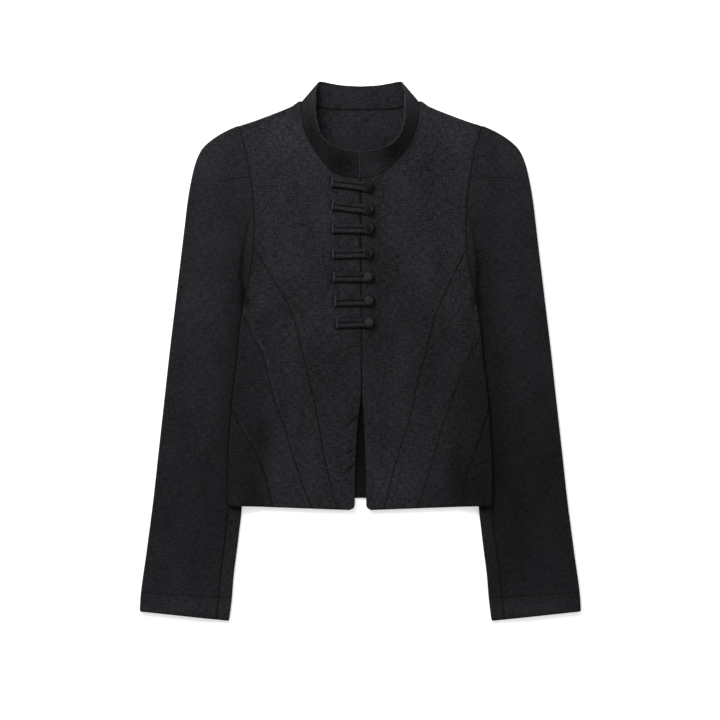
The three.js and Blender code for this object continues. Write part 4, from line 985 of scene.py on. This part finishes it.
def swept_cord(path, half_wide, half_high, shade, around=16):
    """A soft cord along a path: a grid bent into a closed tube, its ends drawn together."""
    steps = len(path) - 1
    bm, spots, (thread_map, tone_and_painted_light) = grid_sheet(around, steps, ("tone_and_painted_light",))
    way = np.gradient(path, axis=0)
    run = np.concatenate(([0], np.cumsum(np.linalg.norm(np.diff(path, axis=0), axis=1))))
    for face in bm.faces:
        face.smooth = True
        for loop in face.loops:
            i, j = spots[loop.vert]
            loop[thread_map].uv = (j / around * 0.014 + run[i] * 0.0004, run[i] * 0.0009)
    for vert, (i, j) in spots.items():
        from_end = min(run[i], run[-1] - run[i]) / 1.3
        close = math.sqrt(max(0.0, 1 - (1 - min(from_end, 1)) ** 2))
        along_cord = Vector(way[i]).normalized()
        across = along_cord.cross(Vector((0, 0, 1))).normalized()
        upright = across.cross(along_cord)
        angle = 2 * math.pi * j / around
        # Painted shade along both edges of each run, deepest along the bottom edge of the lower
        # run; the lower run painted lighter, and the bend painted darker round the button
        inner, outer = max(0.0, math.cos(angle)) ** 3, max(0.0, -math.cos(angle)) ** 3
        bottom_edge_shade = 0.85 if i > steps * 0.45 else 0.45
        lower_run_light = 0.25 if i > steps * 0.55 else 0.0
        vert[tone_and_painted_light] = (shade + lower_run_light) * (1 - 0.7 * inner - bottom_edge_shade * outer)
        if steps > 20:
            vert[tone_and_painted_light] *= 1 - 0.62 * math.exp(-((i - steps / 2) / 12) ** 2)
        vert.co = (Vector(path[i]) + across * math.cos(angle) * half_wide[i] * close
                   + upright * math.sin(angle) * half_high * close) * MM
    bmesh.ops.remove_doubles(bm, verts=bm.verts, dist=1e-6)
    bmesh.ops.recalc_face_normals(bm, faces=bm.faces)
    return bm


cord_linen = linen_cloth("loop_cord_linen", CHARCOAL, contrast=0.7)
for number, (left_x, left_y, button_x, button_y) in enumerate(FASTENINGS, 1):
    reach = math.hypot(button_x - left_x, button_y - left_y)
    bend = np.linspace(math.pi / 2, -math.pi / 2, 21)
    straight = np.linspace(1.5, reach, 26)[:-1]
    opened = np.clip((straight - reach + 10) / 10, 0, 1) ** 2
    opened = np.concatenate((opened, np.ones(21), opened[::-1]))
    half, half_wide = mix(RUN_HALF, BEND_RADIUS, opened), mix(CORD_HALF, BEND_HALF, opened)
    path = np.concatenate((
        np.column_stack((straight, half[:25])),
        np.column_stack((reach + BEND_RADIUS * np.cos(bend), BEND_RADIUS * np.sin(bend))),
        np.column_stack((straight[::-1], -half[-25:]))))
    path = np.column_stack((path, np.full(len(path), CORD_Z)))
    sway = np.array([noise.noise((number * 9.0, k * 0.11, 0)) for k in range(len(path))])
    path[:, 1] += 0.3 * sway * (path[:, 0] < reach)
    path[:, 2] += 0.25 * np.roll(sway, 5)
    bar = np.array([(1.8, y, BAR_Z + math.cos(y / BAR_HALF_LENGTH * 1.4))
                    for y in np.linspace(BAR_HALF_LENGTH, -BAR_HALF_LENGTH, 15)])
    cord = swept_cord(path, half_wide, 1.4, 1.1 if number < 5 else 0.95)
    # The bar is painted much lighter than the cord, a painted highlight
    bar_cord = swept_cord(bar, np.full(15, 2.1), 1.5, 1.8)
    bar_mesh = bpy.data.meshes.new("loop_bar")
    bar_cord.to_mesh(bar_mesh)
    bar_cord.free()
    cord.from_mesh(bar_mesh)
    bpy.data.meshes.remove(bar_mesh)
    turn = Matrix.Rotation(math.atan2(button_y - left_y, button_x - left_x), 4, "Z")
    bmesh.ops.transform(cord, verts=cord.verts,
                        matrix=Matrix.Translation((left_x * MM, left_y * MM, 0)) @ turn)
    hand_over(f"loop_{number}_cord", cord, cord_linen, f"loop_{number}")

# Buttons: domed shank buttons covered in the same linen, which is drawn tight over the
# dome and gathered behind. Each is sewn to the right front by its cloth shank.
BUTTON_Z = 6.7  # where the shank is sewn down
BUTTON_PROFILE = [(0, 0), (1.6, 0.0), (1.1, 1.2), (1.1, 4.1), (2.3, 4.5), (5.0, 4.7), (5.5, 5.0),
                  (5.8, 5.7), (5.7, 6.6), (5.2, 7.4), (4.6, 7.9), (4.1, 7.85), (3.7, 7.75),
                  (3.1, 8.3), (2.0, 8.85), (1.0, 9.05), (0, 9.1)]
button_linen = linen_cloth("button_linen", (0.0115, 0.0112, 0.0132), contrast=0.8, sheen=0.1)
for number, (_, _, button_x, button_y) in enumerate(FASTENINGS, 1):
    button = bmesh.new()
    tone_and_painted_light = button.verts.layers.float.new("tone_and_painted_light")
    ring = [button.verts.new((r * MM, 0, (z + BUTTON_Z) * MM)) for r, z in BUTTON_PROFILE]
    spine = [button.edges.new(pair) for pair in zip(ring[:-1], ring[1:])]
    bmesh.ops.spin(button, geom=ring + spine, cent=(0, 0, 0), axis=(0, 0, 1), dvec=(0, 0, 0),
                   angle=math.tau, steps=32, use_merge=True, use_duplicate=False)
    bmesh.ops.remove_doubles(button, verts=button.verts, dist=1e-6)
    bmesh.ops.recalc_face_normals(button, faces=button.faces)
    thread_map = button.loops.layers.uv.new("thread_map")
    for face in button.faces:
        face.smooth = True
        for loop in face.loops:
            loop[thread_map].uv = (loop.vert.co.x + number * 0.03, loop.vert.co.y)
    for vert in button.verts:
        far = math.hypot(vert.co.x, vert.co.y) * 1000
        angle = math.atan2(vert.co.y, vert.co.x)
        # Buttons 5 to 7 are pale with a darker band beyond 5.3 mm; 1 to 4 are dark, and 2 to 4 have
        # a painted highlight on the right of the rim
        painted_rim_highlight = max(0.0, math.cos(angle)) ** 3 * (4.4 < far < 5.75)
        vert[tone_and_painted_light] = ((1.5 - 1.15 * (far > 5.3)) if number > 4
                        else 0.36 + (2.4 if number > 1 else 0.0) * painted_rim_highlight)
        pull = 0.12 * max(0.0, far - 3.5) / 3 * math.sin(angle * 9 + number)
        vert.co.z += pull * MM
    bmesh.ops.translate(button, verts=button.verts, vec=(button_x * MM, button_y * MM, 0))
    hand_over(f"button_{number}_cover", button, button_linen, f"button_{number}")

# Neck label: a plain woven tape label of the jacket's own colour, folded in at its ends
# and sewn inside the back neck with small stitches near its edge.
label_cloth = linen_cloth("neck_label_tape", CHARCOAL,
                          [(-38.4, 288.6, 34.0, 288.6, 0.7, "shaded"),
                           (-38.2, 288.6, -38.2, 264.0, 0.8, "shaded"),
                           (34.0, 288.6, 34.0, 264.0, 0.5, "pressed")], 0.6, 0.1)
label_x = np.linspace(-38.7, 34.3, 74)[None, :] + np.zeros((26, 1))
label_y = np.linspace(264, 289, 26)[:, None] + np.zeros((1, 74))
label_z = 2.6 + 0.12 * np.sin(label_x / 9) * np.sin(label_y / 7)
label_facing = np.stack((0 * label_x, 0 * label_x, 1 + 0 * label_x), -1)
label_sheet, _ = cut_cloth(
    (np.stack((label_x, label_y, label_z), -1), label_facing,
     np.stack((label_x, label_y), -1)), (0.92, []), seams=("foot",),
    folds=("left", "right", "top"), roll=0.25, puckers=0.02)
label = hand_over("neck_label_tape", label_sheet, label_cloth, "neck_label", 0.7)
